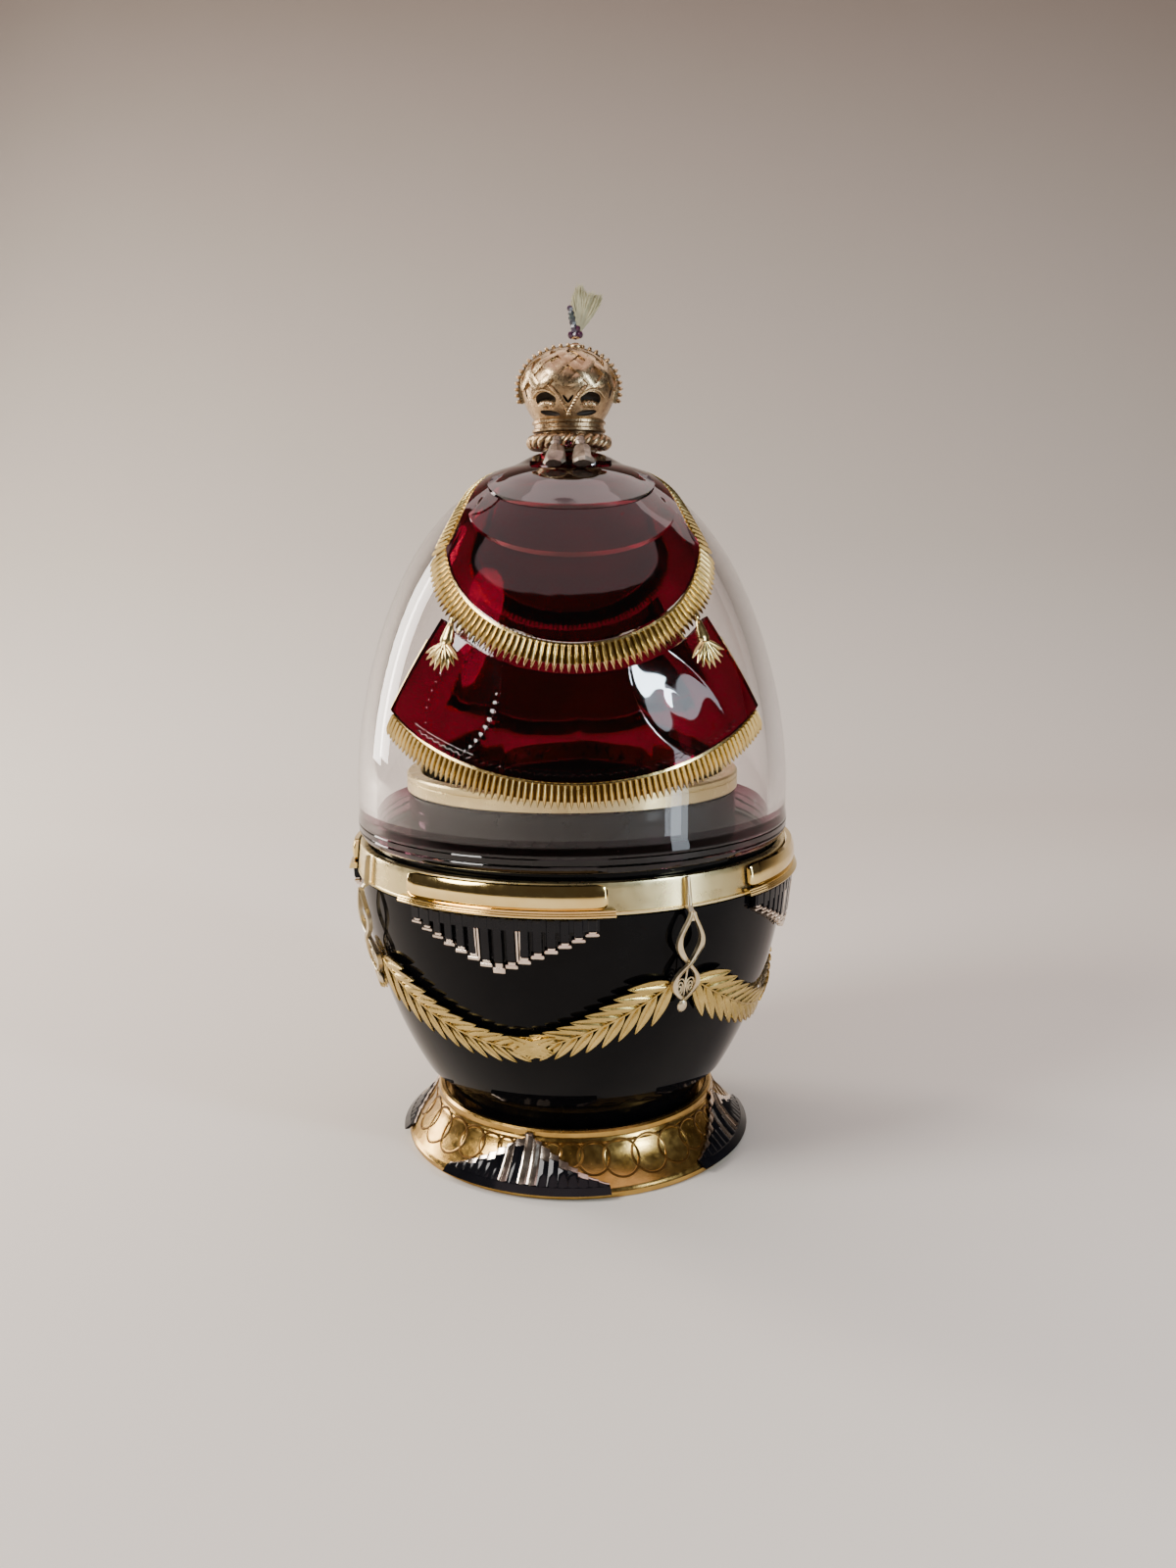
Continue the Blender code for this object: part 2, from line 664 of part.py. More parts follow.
def garland_half(bm, start, end, leaves, shared):
    """Leaf pairs from one drop ornament to the meeting point, tips pointing at the meeting point."""
    ribs = []
    notches = {1: [], -1: []}
    for i in range(leaves + 1):
        share = i / leaves
        azimuth = blend(start, end, share)
        width = blend(GARLAND_WIDE, GARLAND_NARROW, share)
        lag = (end - start) / leaves * blend(1.0, 0.0, share)
        rib = (azimuth, garland_centre(azimuth), GARLAND_RIB)
        ribs.append(shared("rib", rib) if i == leaves else bm.verts.new(rib))
        for side in (1, -1):
            out = azimuth + lag
            notch = (out, garland_centre(out) + side * width * GARLAND_NOTCH_SHARE, GARLAND_NOTCH)
            last = i == leaves
            notches[side].append(shared(side, notch) if last else bm.verts.new(notch))
    for i in range(leaves):
        share = (i + 1) / leaves
        width = blend(GARLAND_WIDE, GARLAND_NARROW, share)
        lag = blend(GARLAND_TIP_LAG, 0.0, share) - GARLAND_TIP_SETBACK
        azimuth = blend(start, end, share) + (end - start) / leaves * lag
        for side in (1, -1):
            tip = bm.verts.new((azimuth, garland_centre(azimuth) + side * width, GARLAND_TIP))
            corners = (ribs[i], ribs[i + 1], notches[side][i + 1], tip, notches[side][i])
            bm.faces.new(corners)


def make_garlands(material, collection):
    """Leaf swags around the bowl from one drop ornament to the next."""
    reach = math.pi / REPEATS - GARLAND_MARGIN
    for k in range(REPEATS):
        turn = PATTERN_TURN + math.tau * k / REPEATS
        bm = bmesh.new()
        meeting = {}

        def shared(key, point, bm=bm, meeting=meeting):
            if key not in meeting:
                meeting[key] = bm.verts.new(point)
            return meeting[key]

        garland_half(bm, -reach, GARLAND_MEETING, GARLAND_LONG_LEAVES, shared)
        garland_half(bm, reach, GARLAND_MEETING, GARLAND_SHORT_LEAVES, shared)

        def place(azimuth, z, height, turn=turn):
            return at(turn + azimuth, bowl_radius_at(z) + GAP + height, z)

        bmesh.ops.recalc_face_normals(bm, faces=list(bm.faces))
        raised(f"garland_{k + 1}", bm, place, material, collection)


def make_crystal_dome(material, collection):
    """The hollow clear dome, open below."""
    band_z = DOME_BASE_Z + DOME_BAND_RISE
    profile = [(0.0, DOME_TOP_Z)]
    for share in DOME_STATIONS:
        z = DOME_CURVE_Z + DOME_RISE * share
        profile.append((dome_radius_at(z), z))
    profile += [
        (DOME_RADIUS, band_z + DOME_BAND_RISE / 2.0),
        (DOME_RADIUS + DOME_BAND_OVERHANG, band_z),
        (DOME_RADIUS - DOME_FOOT_INSET, DOME_BASE_Z),
        (DOME_INNER_RADIUS, DOME_BASE_Z),
    ]
    inner_rise = DOME_RISE - DOME_WALL
    for share in DOME_INNER_STATIONS:
        z = DOME_CURVE_Z + inner_rise * share
        profile.append((dome_radius_at(z, DOME_WALL), z))
    turned("crystal_dome", profile, material, collection)


def top_drape_edge(u):
    """(azimuth, z) of the upper drape's edge: u is -1 at its left end, 0 lowest, 1 at its right end."""
    low_z = DOME_TOP_Z - TOP_DRAPE_DROP
    waist_z = low_z + TOP_DRAPE_WAIST
    end_z = DOME_TOP_Z - TOP_DRAPE_END_DROP
    side = -1.0 if u < 0.0 else 1.0
    share = abs(u) / TOP_DRAPE_WAIST_SHARE
    if share <= 1.0:
        swing = share * math.pi / 2.0
        z = waist_z - (waist_z - low_z) * math.cos(swing)
        across = TOP_DRAPE_HALF_WIDTH * math.sin(swing)
        return side * math.asin(min(across / dome_radius_at(z), 1.0)), z
    share = (abs(u) - TOP_DRAPE_WAIST_SHARE) / (1.0 - TOP_DRAPE_WAIST_SHARE)
    rise = math.sin(share * math.pi / 2.0)
    z = blend(waist_z, end_z, rise)
    waist_azimuth = math.asin(min(TOP_DRAPE_HALF_WIDTH / dome_radius_at(waist_z), 1.0))
    turned_in = blend(rise**TOP_DRAPE_END_SWEEP, rise, TOP_DRAPE_END_LEAN)
    azimuth = blend(waist_azimuth, TOP_DRAPE_END_AZIMUTH, turned_in)
    return side * azimuth, z


def top_drape_point(u, v):
    """(azimuth, radius, z) on the dome: v is 0 beside the finial and 1 at the drape's edge."""
    azimuth, z = top_drape_edge(u)
    outer = at(azimuth, dome_radius_at(z), 0.0)
    inner = at(u * TOP_DRAPE_END_AZIMUTH, FINIAL_BASE_RADIUS + GAP, 0.0)
    point = inner.lerp(outer, v)
    radius = math.hypot(point.x, point.y)
    return math.atan2(point.x, -point.y), radius, dome_height_at(radius)


def fold_rows():
    """Rows of the upper drape as (v, height): each fold swells to a sharp lower edge."""
    half_thick = (DRAPE_THIN + DRAPE_THICK) / 2.0
    rows = [(0.0, DRAPE_THIN), (TOP_DRAPE_FLAT_SHARE, DRAPE_THIN), (TOP_DRAPE_SWELL_SHARE, half_thick)]
    for low in TOP_DRAPE_FOLDS[:-1]:
        rows.append((low - FOLD_EDGE, DRAPE_THICK))
        rows.append((low + FOLD_EDGE, DRAPE_THIN))
    rows.append((TOP_DRAPE_FOLDS[-1], DRAPE_THICK))
    return rows


def sides(turn):
    """The front and the back copy, with their turns."""
    return (("front", turn), ("back", turn + math.pi))


def make_top_drapes(material, collection):
    rows = fold_rows()

    def shape(u, v):
        row_v, height = rows[round(v * (len(rows) - 1))]
        return (u * 2.0 - 1.0, row_v, height)

    for side, turn in sides(DRAPE_TURN):

        def place(u, v, height, turn=turn):
            azimuth, radius, z = top_drape_point(u, v)
            return on_dome(turn + azimuth, radius, z, DRAPE_GAP + height)

        bm = grid(TOP_DRAPE_COLUMNS, len(rows) - 1, shape)
        raised(f"top_drape_{side}", bm, place, material, collection)


def top_drape_edge_point(across, lift=0.0):
    azimuth, z = top_drape_edge(min(max(across, -1.0), 1.0))
    return on_dome_at_height(azimuth, z, lift)


def beyond_top_drape(across, reach):
    """(azimuth, z) this far outside the upper drape's edge, along the dome."""
    step = 0.01
    here = top_drape_edge_point(across)
    along = top_drape_edge_point(across + step) - top_drape_edge_point(across - step)
    normal = top_drape_edge_point(across, MM) - here
    target = here + along.cross(normal).normalized() * reach
    radius = math.hypot(target.x, target.y)
    return math.atan2(target.x, -target.y), dome_height_at(radius)


def skirt_point(u, v):
    """(azimuth, z) on the skirt: u from -1 to 1 across, v from 0 at its top to 1 at its hem."""
    top_azimuth, top_z = beyond_top_drape(u * SKIRT_TOP_SHARE, FRINGE_WIDTH + 2.0 * GAP)
    base_z = DOME_TOP_Z - SKIRT_BASE_DROP + SKIRT_BASE_RISE * u * u
    return blend(top_azimuth, SKIRT_BASE_HALF_ARC * u, v), blend(top_z, base_z, v)


def make_skirt_drapes(material, collection):
    """Fluted skirts that flare out below the upper drape."""
    columns = 3 * SKIRT_FLUTES

    def shape(u, v):
        flute = 0.5 + 0.5 * math.cos(u * math.tau * SKIRT_FLUTES)
        return (u * 2.0 - 1.0, v, blend(DRAPE_THIN, DRAPE_THICK, flute))

    for side, turn in sides(DRAPE_TURN):

        def place(u, v, height, turn=turn):
            azimuth, z = skirt_point(u, v)
            return on_dome_at_height(turn + azimuth, z, DRAPE_GAP + height)

        raised(f"skirt_drape_{side}", grid(columns, SKIRT_ROWS, shape), place, material, collection)


def fringe(name, strands, edge, material, collection):
    """A ribbed band along an edge, with a pointed strand at every rib."""
    columns = 2 * strands

    def shape(u, v):
        rib = round(u * columns) % 2 == 1
        height = FRINGE_THICKNESS if rib else FRINGE_VALLEY
        reach = 1.0 if rib else 1.0 - FRINGE_SCALLOP
        return (u, v * reach, height)

    raised(name, grid(columns, 1, shape), edge, material, collection)


def make_top_fringes(material, collection):
    """The fringe of the upper drape, from one side of the finial round to the other."""
    for side, turn in sides(DRAPE_TURN):

        def edge(u, out, height, turn=turn):
            across = u * 2.0 - 1.0
            narrowing = max(abs(across) - FRINGE_FULL_SHARE, 0.0) / (1.0 - FRINGE_FULL_SHARE)
            width = blend(FRINGE_WIDTH, FRINGE_END_WIDTH, narrowing)
            azimuth, z = beyond_top_drape(across, GAP + out * width)
            return on_dome_at_height(turn + azimuth, z, DRAPE_GAP + height)

        fringe(f"top_fringe_{side}", TOP_FRINGE_STRANDS, edge, material, collection)


def make_skirt_fringes(material, collection):
    """The fringe along the hem of each skirt."""
    for side, turn in sides(DRAPE_TURN):

        def edge(u, out, height, turn=turn):
            across = u * 2.0 - 1.0
            azimuth, z = skirt_point(across, 1.0)
            slope = math.atan2(2.0 * SKIRT_BASE_RISE * across, dome_radius_at(z) * SKIRT_BASE_HALF_ARC)
            reach = GAP + out * FRINGE_WIDTH
            z -= reach * math.cos(slope)
            azimuth += reach * math.sin(slope) / dome_radius_at(z)
            return on_dome_at_height(turn + azimuth, z, DRAPE_GAP + height)

        fringe(f"skirt_fringe_{side}", SKIRT_FRINGE_STRANDS, edge, material, collection)


def make_edge_wires(material, collection):
    """Gilt wires down both slanting sides of each skirt."""
    for side, turn in sides(DRAPE_TURN):
        for hand, across in (("left", -1.0), ("right", 1.0)):
            name = f"skirt_wire_{side}_{hand}"
            curve = bpy.data.curves.new(name, "CURVE")
            curve.dimensions = "3D"
            curve.bevel_depth = EDGE_WIRE_RADIUS
            curve.bevel_resolution = 0
            curve.use_fill_caps = True
            spline = curve.splines.new("POLY")
            spline.points.add(len(WIRE_STATIONS) - 1)
            for slot, share in zip(spline.points, WIRE_STATIONS):
                azimuth, z = skirt_point(across, share)
                aside = EDGE_WIRE_RADIUS + GAP
                azimuth += across * aside / dome_radius_at(z)
                lift = DRAPE_GAP + EDGE_WIRE_RADIUS
                slot.co = (*on_dome_at_height(turn + azimuth, z, lift), 1.0)
            add_object(name, curve, material, collection)


def tassel_profile(height, radius):
    return [(across * radius, -down * height) for across, down in TASSEL_SHAPE]


def make_skirt_tassels(material, collection):
    """Flat tassels on the skirts, hung just below the upper fringe."""
    for side, turn in sides(DRAPE_TURN):
        for hand, across in (("left", -1.0), ("right", 1.0)):
            name = f"skirt_tassel_{side}_{hand}"
            profile = tassel_profile(TASSEL_HEIGHT, TASSEL_RADIUS)
            obj = turned(name, profile, material, collection, facets=TASSEL_FACETS)
            azimuth = turn + across * TASSEL_AZIMUTH
            top_z = DOME_TOP_Z - TASSEL_TOP_DROP
            lift = DRAPE_GAP + DRAPE_THICK + GAP + TASSEL_RADIUS * TASSEL_FLATNESS
            top = on_dome_at_height(azimuth, top_z, lift)
            foot = on_dome_at_height(azimuth, top_z - TASSEL_HEIGHT, lift)
            down = (foot - top).normalized()
            outwards = at(azimuth, 1.0, 0.0)
            beside = outwards.cross(down).normalized()
            outwards = down.cross(beside).normalized()
            basis = Matrix((beside, outwards, -down)).transposed()
            obj.matrix_world = (
                Matrix.Translation(top) @ basis.to_4x4() @ Matrix.Diagonal((1.0, TASSEL_FLATNESS, 1.0, 1.0))
            )


def make_finial(gilt, silver, ruby, stone, feather, collection, helpers):
    base = [
        (0.0, FINIAL_SEAT_Z),
        (FINIAL_BASE_RADIUS, FINIAL_SEAT_Z),
        (FINIAL_BASE_RADIUS, FINIAL_BASE_Z),
        (0.0, FINIAL_BASE_Z),
    ]
    turned("finial_base", base, gilt, collection, facets=TRIM_FACETS)
    make_rope(gilt, collection)
    make_cap(gilt, collection, helpers)
    make_cap_tassels(silver, collection)
    make_ruby_drop(ruby, collection)
    make_stem(stone, collection)
    make_plume(feather, collection)


def make_rope(material, collection):
    """A twisted ring: a torus whose section turns as it goes round."""
    bm = bmesh.new()
    rings = []
    for i in range(ROPE_STEPS):
        azimuth = math.tau * i / ROPE_STEPS
        ring = []
        for j in range(ROPE_SIDES):
            swing = math.tau * (j + i * ROPE_TWIST) / ROPE_SIDES
            radius = ROPE_RADIUS + ROPE_THICKNESS * math.cos(swing)
            ring.append(bm.verts.new(at(azimuth, radius, ROPE_Z + ROPE_THICKNESS * math.sin(swing))))
        rings.append(ring)
    for i in range(ROPE_STEPS):
        here, after = rings[i], rings[(i + 1) % ROPE_STEPS]
        for j in range(ROPE_SIDES):
            k = (j + 1) % ROPE_SIDES
            bm.faces.new((here[j], here[k], after[k], after[j]))
    bmesh.ops.recalc_face_normals(bm, faces=list(bm.faces))
    add_bmesh("finial_rope", bm, material, collection, smooth=False)


def cap_centre_z():
    return blend(CAP_BAND_Z + CAP_BAND_HEIGHT, CAP_TOP_Z, CAP_BELLY_SHARE)


def make_cap(material, collection, helpers):
    """A swelling cap on a band and a spigot, with a toothed arch over it from side to side."""
    spigot = ROPE_RADIUS - ROPE_THICKNESS - GAP
    centre_z = cap_centre_z()
    rise = CAP_TOP_Z - centre_z
    fall = centre_z - CAP_BAND_Z - CAP_BAND_HEIGHT
    profile = [(0.0, CAP_TOP_Z)]
    for swing in CAP_STATIONS:
        profile.append((CAP_RADIUS * math.cos(swing), centre_z + rise * math.sin(swing)))
    profile += [
        (CAP_RADIUS * CAP_WAIST, centre_z - fall * CAP_WAIST_FALL),
        (CAP_BAND_RADIUS * CAP_NECK, CAP_BAND_Z + CAP_BAND_HEIGHT),
        (CAP_BAND_RADIUS, CAP_BAND_Z + CAP_BAND_HEIGHT * CAP_BAND_ROUND),
        (CAP_BAND_RADIUS, CAP_BAND_Z),
        (spigot, CAP_BAND_Z),
        (spigot, FINIAL_SEAT_Z + GAP),
        (0.0, FINIAL_SEAT_Z + GAP),
    ]
    cap = turned("finial_cap", profile, material, collection, facets=CAP_FACETS)
    arch = make_arch_blank(material, helpers, centre_z, rise)
    union = cap.modifiers.new("arch", "BOOLEAN")
    union.operation = "UNION"
    union.solver = "EXACT"
    union.object = arch


def make_arch_blank(material, helpers, centre_z, rise):
    """The toothed arch that is joined to the cap, upright across the front view."""
    outline = []
    steps = 2 * ARCH_TEETH
    for i in range(steps + 1):
        swing = blend(-ARCH_DIP, math.pi + ARCH_DIP, i / steps)
        tooth = ARCH_RISE if i % 2 else ARCH_RISE * ARCH_TOOTH_SHARE
        outline.append(((CAP_RADIUS + tooth) * math.cos(swing), (rise + tooth) * math.sin(swing)))
    across, up = CAP_RADIUS * ARCH_INNER_SHARE, rise * ARCH_INNER_SHARE
    for i in range(ARCH_INNER_STEPS + 1):
        swing = blend(math.pi + ARCH_DIP, -ARCH_DIP, i / ARCH_INNER_STEPS)
        outline.append((across * math.cos(swing), up * math.sin(swing)))
    bm = flat_outline_mesh("arch", [outline], ARCH_THICKNESS, helpers)
    bm.transform(Matrix.Translation((0.0, 0.0, centre_z)) @ Matrix.Rotation(math.pi / 2.0, 4, "X"))
    bmesh.ops.recalc_face_normals(bm, faces=list(bm.faces))
    blank = add_bmesh("arch_blank", bm, material, helpers, smooth=False)
    blank.hide_render = True
    blank.display_type = "WIRE"
    return blank


def make_cap_tassels(material, collection):
    """Two small flat tassels that hang over the rope in front and lean out over the drapery."""
    head = CAP_TASSEL_RADIUS * CAP_TASSEL_FLATNESS
    reach = ROPE_RADIUS + ROPE_THICKNESS + GAP + head
    half = CAP_TASSEL_SPACING / 2.0
    top_z = ROPE_Z + ROPE_THICKNESS * CAP_TASSEL_HANG
    for hand, across in (("left", -half), ("right", half)):
        profile = tassel_profile(CAP_TASSEL_HEIGHT, CAP_TASSEL_RADIUS)
        obj = turned(f"finial_tassel_{hand}", profile, material, collection, facets=CAP_TASSEL_FACETS)
        obj.matrix_world = (
            Matrix.Translation((across, -reach, top_z))
            @ Matrix.Rotation(-CAP_TASSEL_TILT, 4, "X")
            @ Matrix.Diagonal((1.0, CAP_TASSEL_FLATNESS, 1.0, 1.0))
        )


def make_ruby_drop(material, collection):
    """A small cut stone between the two tassels."""
    bm = bmesh.new()
    bmesh.ops.create_icosphere(bm, subdivisions=1, radius=RUBY_RADIUS)
    reach = ROPE_RADIUS + ROPE_THICKNESS + GAP + RUBY_RADIUS
    z = ROPE_Z - ROPE_THICKNESS * RUBY_HANG
    bmesh.ops.translate(bm, verts=list(bm.verts), vec=at(0.0, reach, z))
    add_bmesh("finial_ruby", bm, material, collection, smooth=False)


def make_stem(material, collection):
    """A thin stem of dark stones on a wider one, leaning a little to the left."""
    profile = [
        (0.0, STEM_HEIGHT),
        (STEM_TIP_RADIUS, STEM_HEIGHT),
        (STEM_RADIUS, STEM_BULB_TOP),
        (STEM_BULB_RADIUS, STEM_BULB_HIGH),
        (STEM_BULB_RADIUS, STEM_BULB_LOW),
        (0.0, 0.0),
    ]
    obj = turned("finial_stem", profile, material, collection, facets=STEM_FACETS)
    base_z = CAP_TOP_Z + ARCH_RISE + GAP + STEM_BULB_RADIUS * math.sin(abs(STEM_LEAN))
    obj.matrix_world = Matrix.Translation((STEM_OFFSET, 0.0, base_z)) @ Matrix.Rotation(
        STEM_LEAN, 4, "Y"
    )


def make_plume(material, collection):
    """A flat feather fan behind the stem, with ragged tips."""
    hip, hip_height = PLUME_HIP
    elbow, elbow_height = PLUME_ELBOW
    left = [(0.0, 0.0), (-hip * PLUME_WIDTH, hip_height * PLUME_HEIGHT)]
    crown = []
    last = 2 * PLUME_TIP_COUNT - 2
    for i in range(last + 1):
        share = i / last
        reach = 1.0 if i % 2 == 0 else PLUME_TIP_NOTCH
        height = PLUME_HEIGHT * (1.0 - PLUME_TIP_FALL * share) * reach
        crown.append((blend(-PLUME_LEFT_SHARE, PLUME_RIGHT_SHARE, share) * PLUME_WIDTH, height))
    right = [(elbow * PLUME_WIDTH, elbow_height * PLUME_HEIGHT)]
    bm = flat_outline_mesh("plume", [left + crown + right], PLUME_THICKNESS, collection)
    bm.transform(Matrix.Rotation(math.pi / 2.0, 4, "X"))
    bm.transform(Matrix.Rotation(PLUME_LEAN, 4, "Y"))
    stem_base_z = CAP_TOP_Z + ARCH_RISE + GAP
    across = STEM_OFFSET + PLUME_OFFSET
    behind = STEM_RADIUS + GAP + PLUME_THICKNESS / 2.0
    bm.transform(Matrix.Translation((across, behind, stem_base_z + STEM_HEIGHT * PLUME_START_SHARE)))
    bmesh.ops.recalc_face_normals(bm, faces=list(bm.faces))
    add_bmesh("finial_plume", bm, material, collection)


def main():
    clear_scene()
    parts = new_collection("jewelled_egg")
    helpers = new_collection("joining_shapes")
    gilt = new_material("gilt", (0.83, 0.62, 0.27), 0.28, 1.0)
    foot_gilt = new_material("foot_gilt", (0.78, 0.49, 0.20), 0.25, 1.0)
    pale_gilt = new_material("pale_gilt", (0.86, 0.76, 0.52), 0.35, 1.0)
    silver = new_material("silver", (0.62, 0.58, 0.52), 0.4, 1.0)
    black_glass = new_material("black_glass", (0.008, 0.008, 0.01), 0.05, 0.0)
    enamel = new_material("enamel", (0.02, 0.02, 0.022), 0.15, 0.0)
    crystal = new_material("crystal", (0.97, 0.95, 0.94), 0.02, 0.0, 1.0)
    ruby = new_material("ruby_glass", (0.45, 0.01, 0.03), 0.04, 0.0, 1.0)
    stone = new_material("dark_stone", (0.05, 0.04, 0.10), 0.1, 0.0)
    feather = new_material("feather", (0.62, 0.63, 0.45), 0.7, 0.0)

    make_foot_ring(foot_gilt, parts)
    make_foot_panels(enamel, parts)
    make_cup(black_glass, parts)
    make_cup_rim(gilt, parts)
    make_neck_ring(gilt, parts)
    make_rim_plates(gilt, parts)
    make_stepped_pendants(enamel, parts)
    make_drop_ornaments(pale_gilt, parts)
    make_garlands(pale_gilt, parts)
    make_crystal_dome(crystal, parts)
    make_top_drapes(ruby, parts)
    make_skirt_drapes(ruby, parts)
    make_top_fringes(gilt, parts)
    make_skirt_fringes(gilt, parts)
    make_edge_wires(gilt, parts)
    make_skirt_tassels(gilt, parts)
    make_finial(gilt, silver, ruby, stone, feather, parts, helpers)


main()
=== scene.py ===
"""The looks of a jewelled egg: black glass, clear crystal, ruby drapery and gilt mounts.

Everything is in metres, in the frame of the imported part. Azimuths run from the front, -Y,
towards +X. Small pieces are modelled flat, with x across, y up and z outwards, and then bent
round the body that carries them.
"""

import math

import bpy
from mathutils import Matrix, Vector, noise


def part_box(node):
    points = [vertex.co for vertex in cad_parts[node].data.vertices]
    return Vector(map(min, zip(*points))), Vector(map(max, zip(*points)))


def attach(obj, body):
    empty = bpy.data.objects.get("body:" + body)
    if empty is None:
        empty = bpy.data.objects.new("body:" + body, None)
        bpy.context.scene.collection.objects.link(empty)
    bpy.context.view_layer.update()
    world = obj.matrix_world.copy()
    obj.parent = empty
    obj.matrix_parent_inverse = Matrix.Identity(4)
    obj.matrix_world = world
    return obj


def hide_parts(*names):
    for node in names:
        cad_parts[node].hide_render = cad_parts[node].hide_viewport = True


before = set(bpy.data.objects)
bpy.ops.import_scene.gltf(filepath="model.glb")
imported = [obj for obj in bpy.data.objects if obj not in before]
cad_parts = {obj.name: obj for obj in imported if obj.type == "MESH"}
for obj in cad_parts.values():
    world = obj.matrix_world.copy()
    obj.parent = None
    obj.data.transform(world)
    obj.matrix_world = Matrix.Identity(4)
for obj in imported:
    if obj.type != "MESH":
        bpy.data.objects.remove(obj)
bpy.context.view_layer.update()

MM = 0.001
HAIR = 0.3 * MM

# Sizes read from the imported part
FOOT_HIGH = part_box("foot_ring")[1]
CUP_LOW, CUP_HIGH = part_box("cup")
RIM_LOW, RIM_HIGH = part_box("cup_rim")
NECK_RING_LOW, NECK_RING_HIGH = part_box("neck_ring")
DOME_LOW, DOME_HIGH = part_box("crystal_dome")
SEAT_LOW, SEAT_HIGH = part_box("finial_base")
ROPE_LOW, ROPE_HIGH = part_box("finial_rope")
CAP_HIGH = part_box("finial_cap")[1]

# Foot
FOOT_HEIGHT = FOOT_HIGH.z
FOOT_RADIUS = FOOT_HIGH.x
FOOT_TOP_RADIUS = 27.0 * MM
FOOT_TOP_WALL = 1.4 * MM
FOOT_BASE_WALL = 4.5 * MM
FOOT_LIP = 1.2 * MM
FOOT_SHELF_Z = CUP_LOW.z - HAIR
FOOT_SHELF_THICKNESS = 1.6 * MM
FOOT_SHELF_WIDTH = 5.0 * MM
FOOT_FLARE = 1.8

# Cup
CUP_RADIUS = 40.6 * MM
CUP_BASE_RADIUS = 24.6 * MM
CUP_WALL = 3.2 * MM
CUP_FLOOR = 4.7 * MM
CUP_BASE_Z = CUP_LOW.z
CUP_TOP_Z = RIM_LOW.z - HAIR
BAND_HEIGHT = 6.9 * MM
BAND_FLARE = 2.8 * MM
BOWL_SPAN = (CUP_TOP_Z - CUP_BASE_Z) * 1.245
BOWL_BELLY = 1.55
BOWL_ROUNDNESS = 2.367
SHOULDER_Z = DOME_LOW.z - HAIR
NECK_TOP_Z = CUP_HIGH.z
NECK_RADIUS = 31.0 * MM
NECK_INNER_RADIUS = 28.5 * MM

# Rim
RIM_BASE_Z = RIM_LOW.z
RIM_TOP_Z = RIM_HIGH.z
RIM_RADIUS = RIM_HIGH.x
RIM_INNER_RADIUS = RIM_RADIUS - 2.1 * MM
RIM_TAPER = 0.6 * MM

# Dome
DOME_BASE_Z = DOME_LOW.z
DOME_TOP_Z = DOME_HIGH.z
DOME_BAND_RADIUS = DOME_HIGH.x
DOME_RADIUS = DOME_BAND_RADIUS - 0.2 * MM
DOME_CURVE_Z = DOME_BASE_Z + 9.4 * MM
DOME_RISE = DOME_TOP_Z - DOME_CURVE_Z
DOME_WALL = 3.2 * MM
DOME_SHARPNESS = 1.652
DOME_ROUNDNESS = 2.61
# Height over the dome's foot and distance out of its fine lines, in mm
DOME_FOOT_LINES = (
    (4.6, 0.0), (4.2, 0.0), (3.1, -0.2), (2.9, -0.2), (2.6, -0.06),
    (2.4, -0.2), (1.5, -0.16), (1.3, 0.02), (1.1, -0.12), (0.4, 0.1),
)

# What repeats four times around
REPEATS = 4
PATTERN_TURN = math.radians(-17.0)
PLATE_HALF_ARC = math.radians(27.0)
PENDANT_BARS = 15
PENDANT_HALF_ARC = math.radians(23.4)
PENDANT_DEPTH = 9.8 * MM
PANEL_BARS = 17
PANEL_HALF_ARC = math.radians(28.2)
BRIGHT_BARS = (-2, 0, 1)
DARK_SHARES = (0.68, 0.78, 0.64, 0.82)

# Drop ornaments and garlands
DROP_HEIGHT = 24.0 * MM
DROP_THICKNESS = 0.55 * MM
RIBBON_SHARE = 0.905
FILIGREE_SHARE = 0.805
GARLAND_TOP_DROP = 11.5 * MM
GARLAND_SAG = 12.9 * MM
GARLAND_SLACKNESS = 1.75
GARLAND_MARGIN = math.radians(3.2)
GARLAND_MEETING = math.radians(6.5)
LEFT_PAIRS = 12
RIGHT_PAIRS = 9
LEAF_LENGTH = 8.2 * MM
LEAF_END_LENGTH = 5.6 * MM
# Direction in degrees and length in mm of the leaves that cross
CROSSING_LEAVES = ((-64.0, 8.4), (-106.0, 7.4), (66.0, 8.2), (108.0, 7.2))

# Drapery
DRAPE_TURN = math.radians(2.0)
DRAPE_DROP = 29.8 * MM
DRAPE_WAIST = 14.8 * MM
DRAPE_HALF_WIDTH = 20.3 * MM
DRAPE_WAIST_SHARE = 0.55
DRAPE_END_AZIMUTH = math.radians(79.0)
DRAPE_END_DROP = 0.9 * MM
DRAPE_GAP = 0.45 * MM
DRAPE_THIN = 0.7 * MM
DRAPE_THICK = 1.4 * MM
DRAPE_CROWN = 2.1 * MM
DRAPE_SIDE_THICK = 0.75 * MM
# Where each fold of the upper drape ends, from the finial down, and how far across it reaches
DRAPE_FOLDS = ((0.09, 0.56), (0.24, 0.44), (0.61, 0.64), (0.80, 0.50), (1.0, 0.56))
DRAPE_HOLLOW = 3.4 * MM
DRAPE_CROWN_WIDTH = 5.5 * MM
SKIRT_TOP_SHARE = 0.36
SKIRT_HALF_ARC = math.radians(50.7)
SKIRT_DROP = 51.4 * MM
SKIRT_RISE = 9.7 * MM
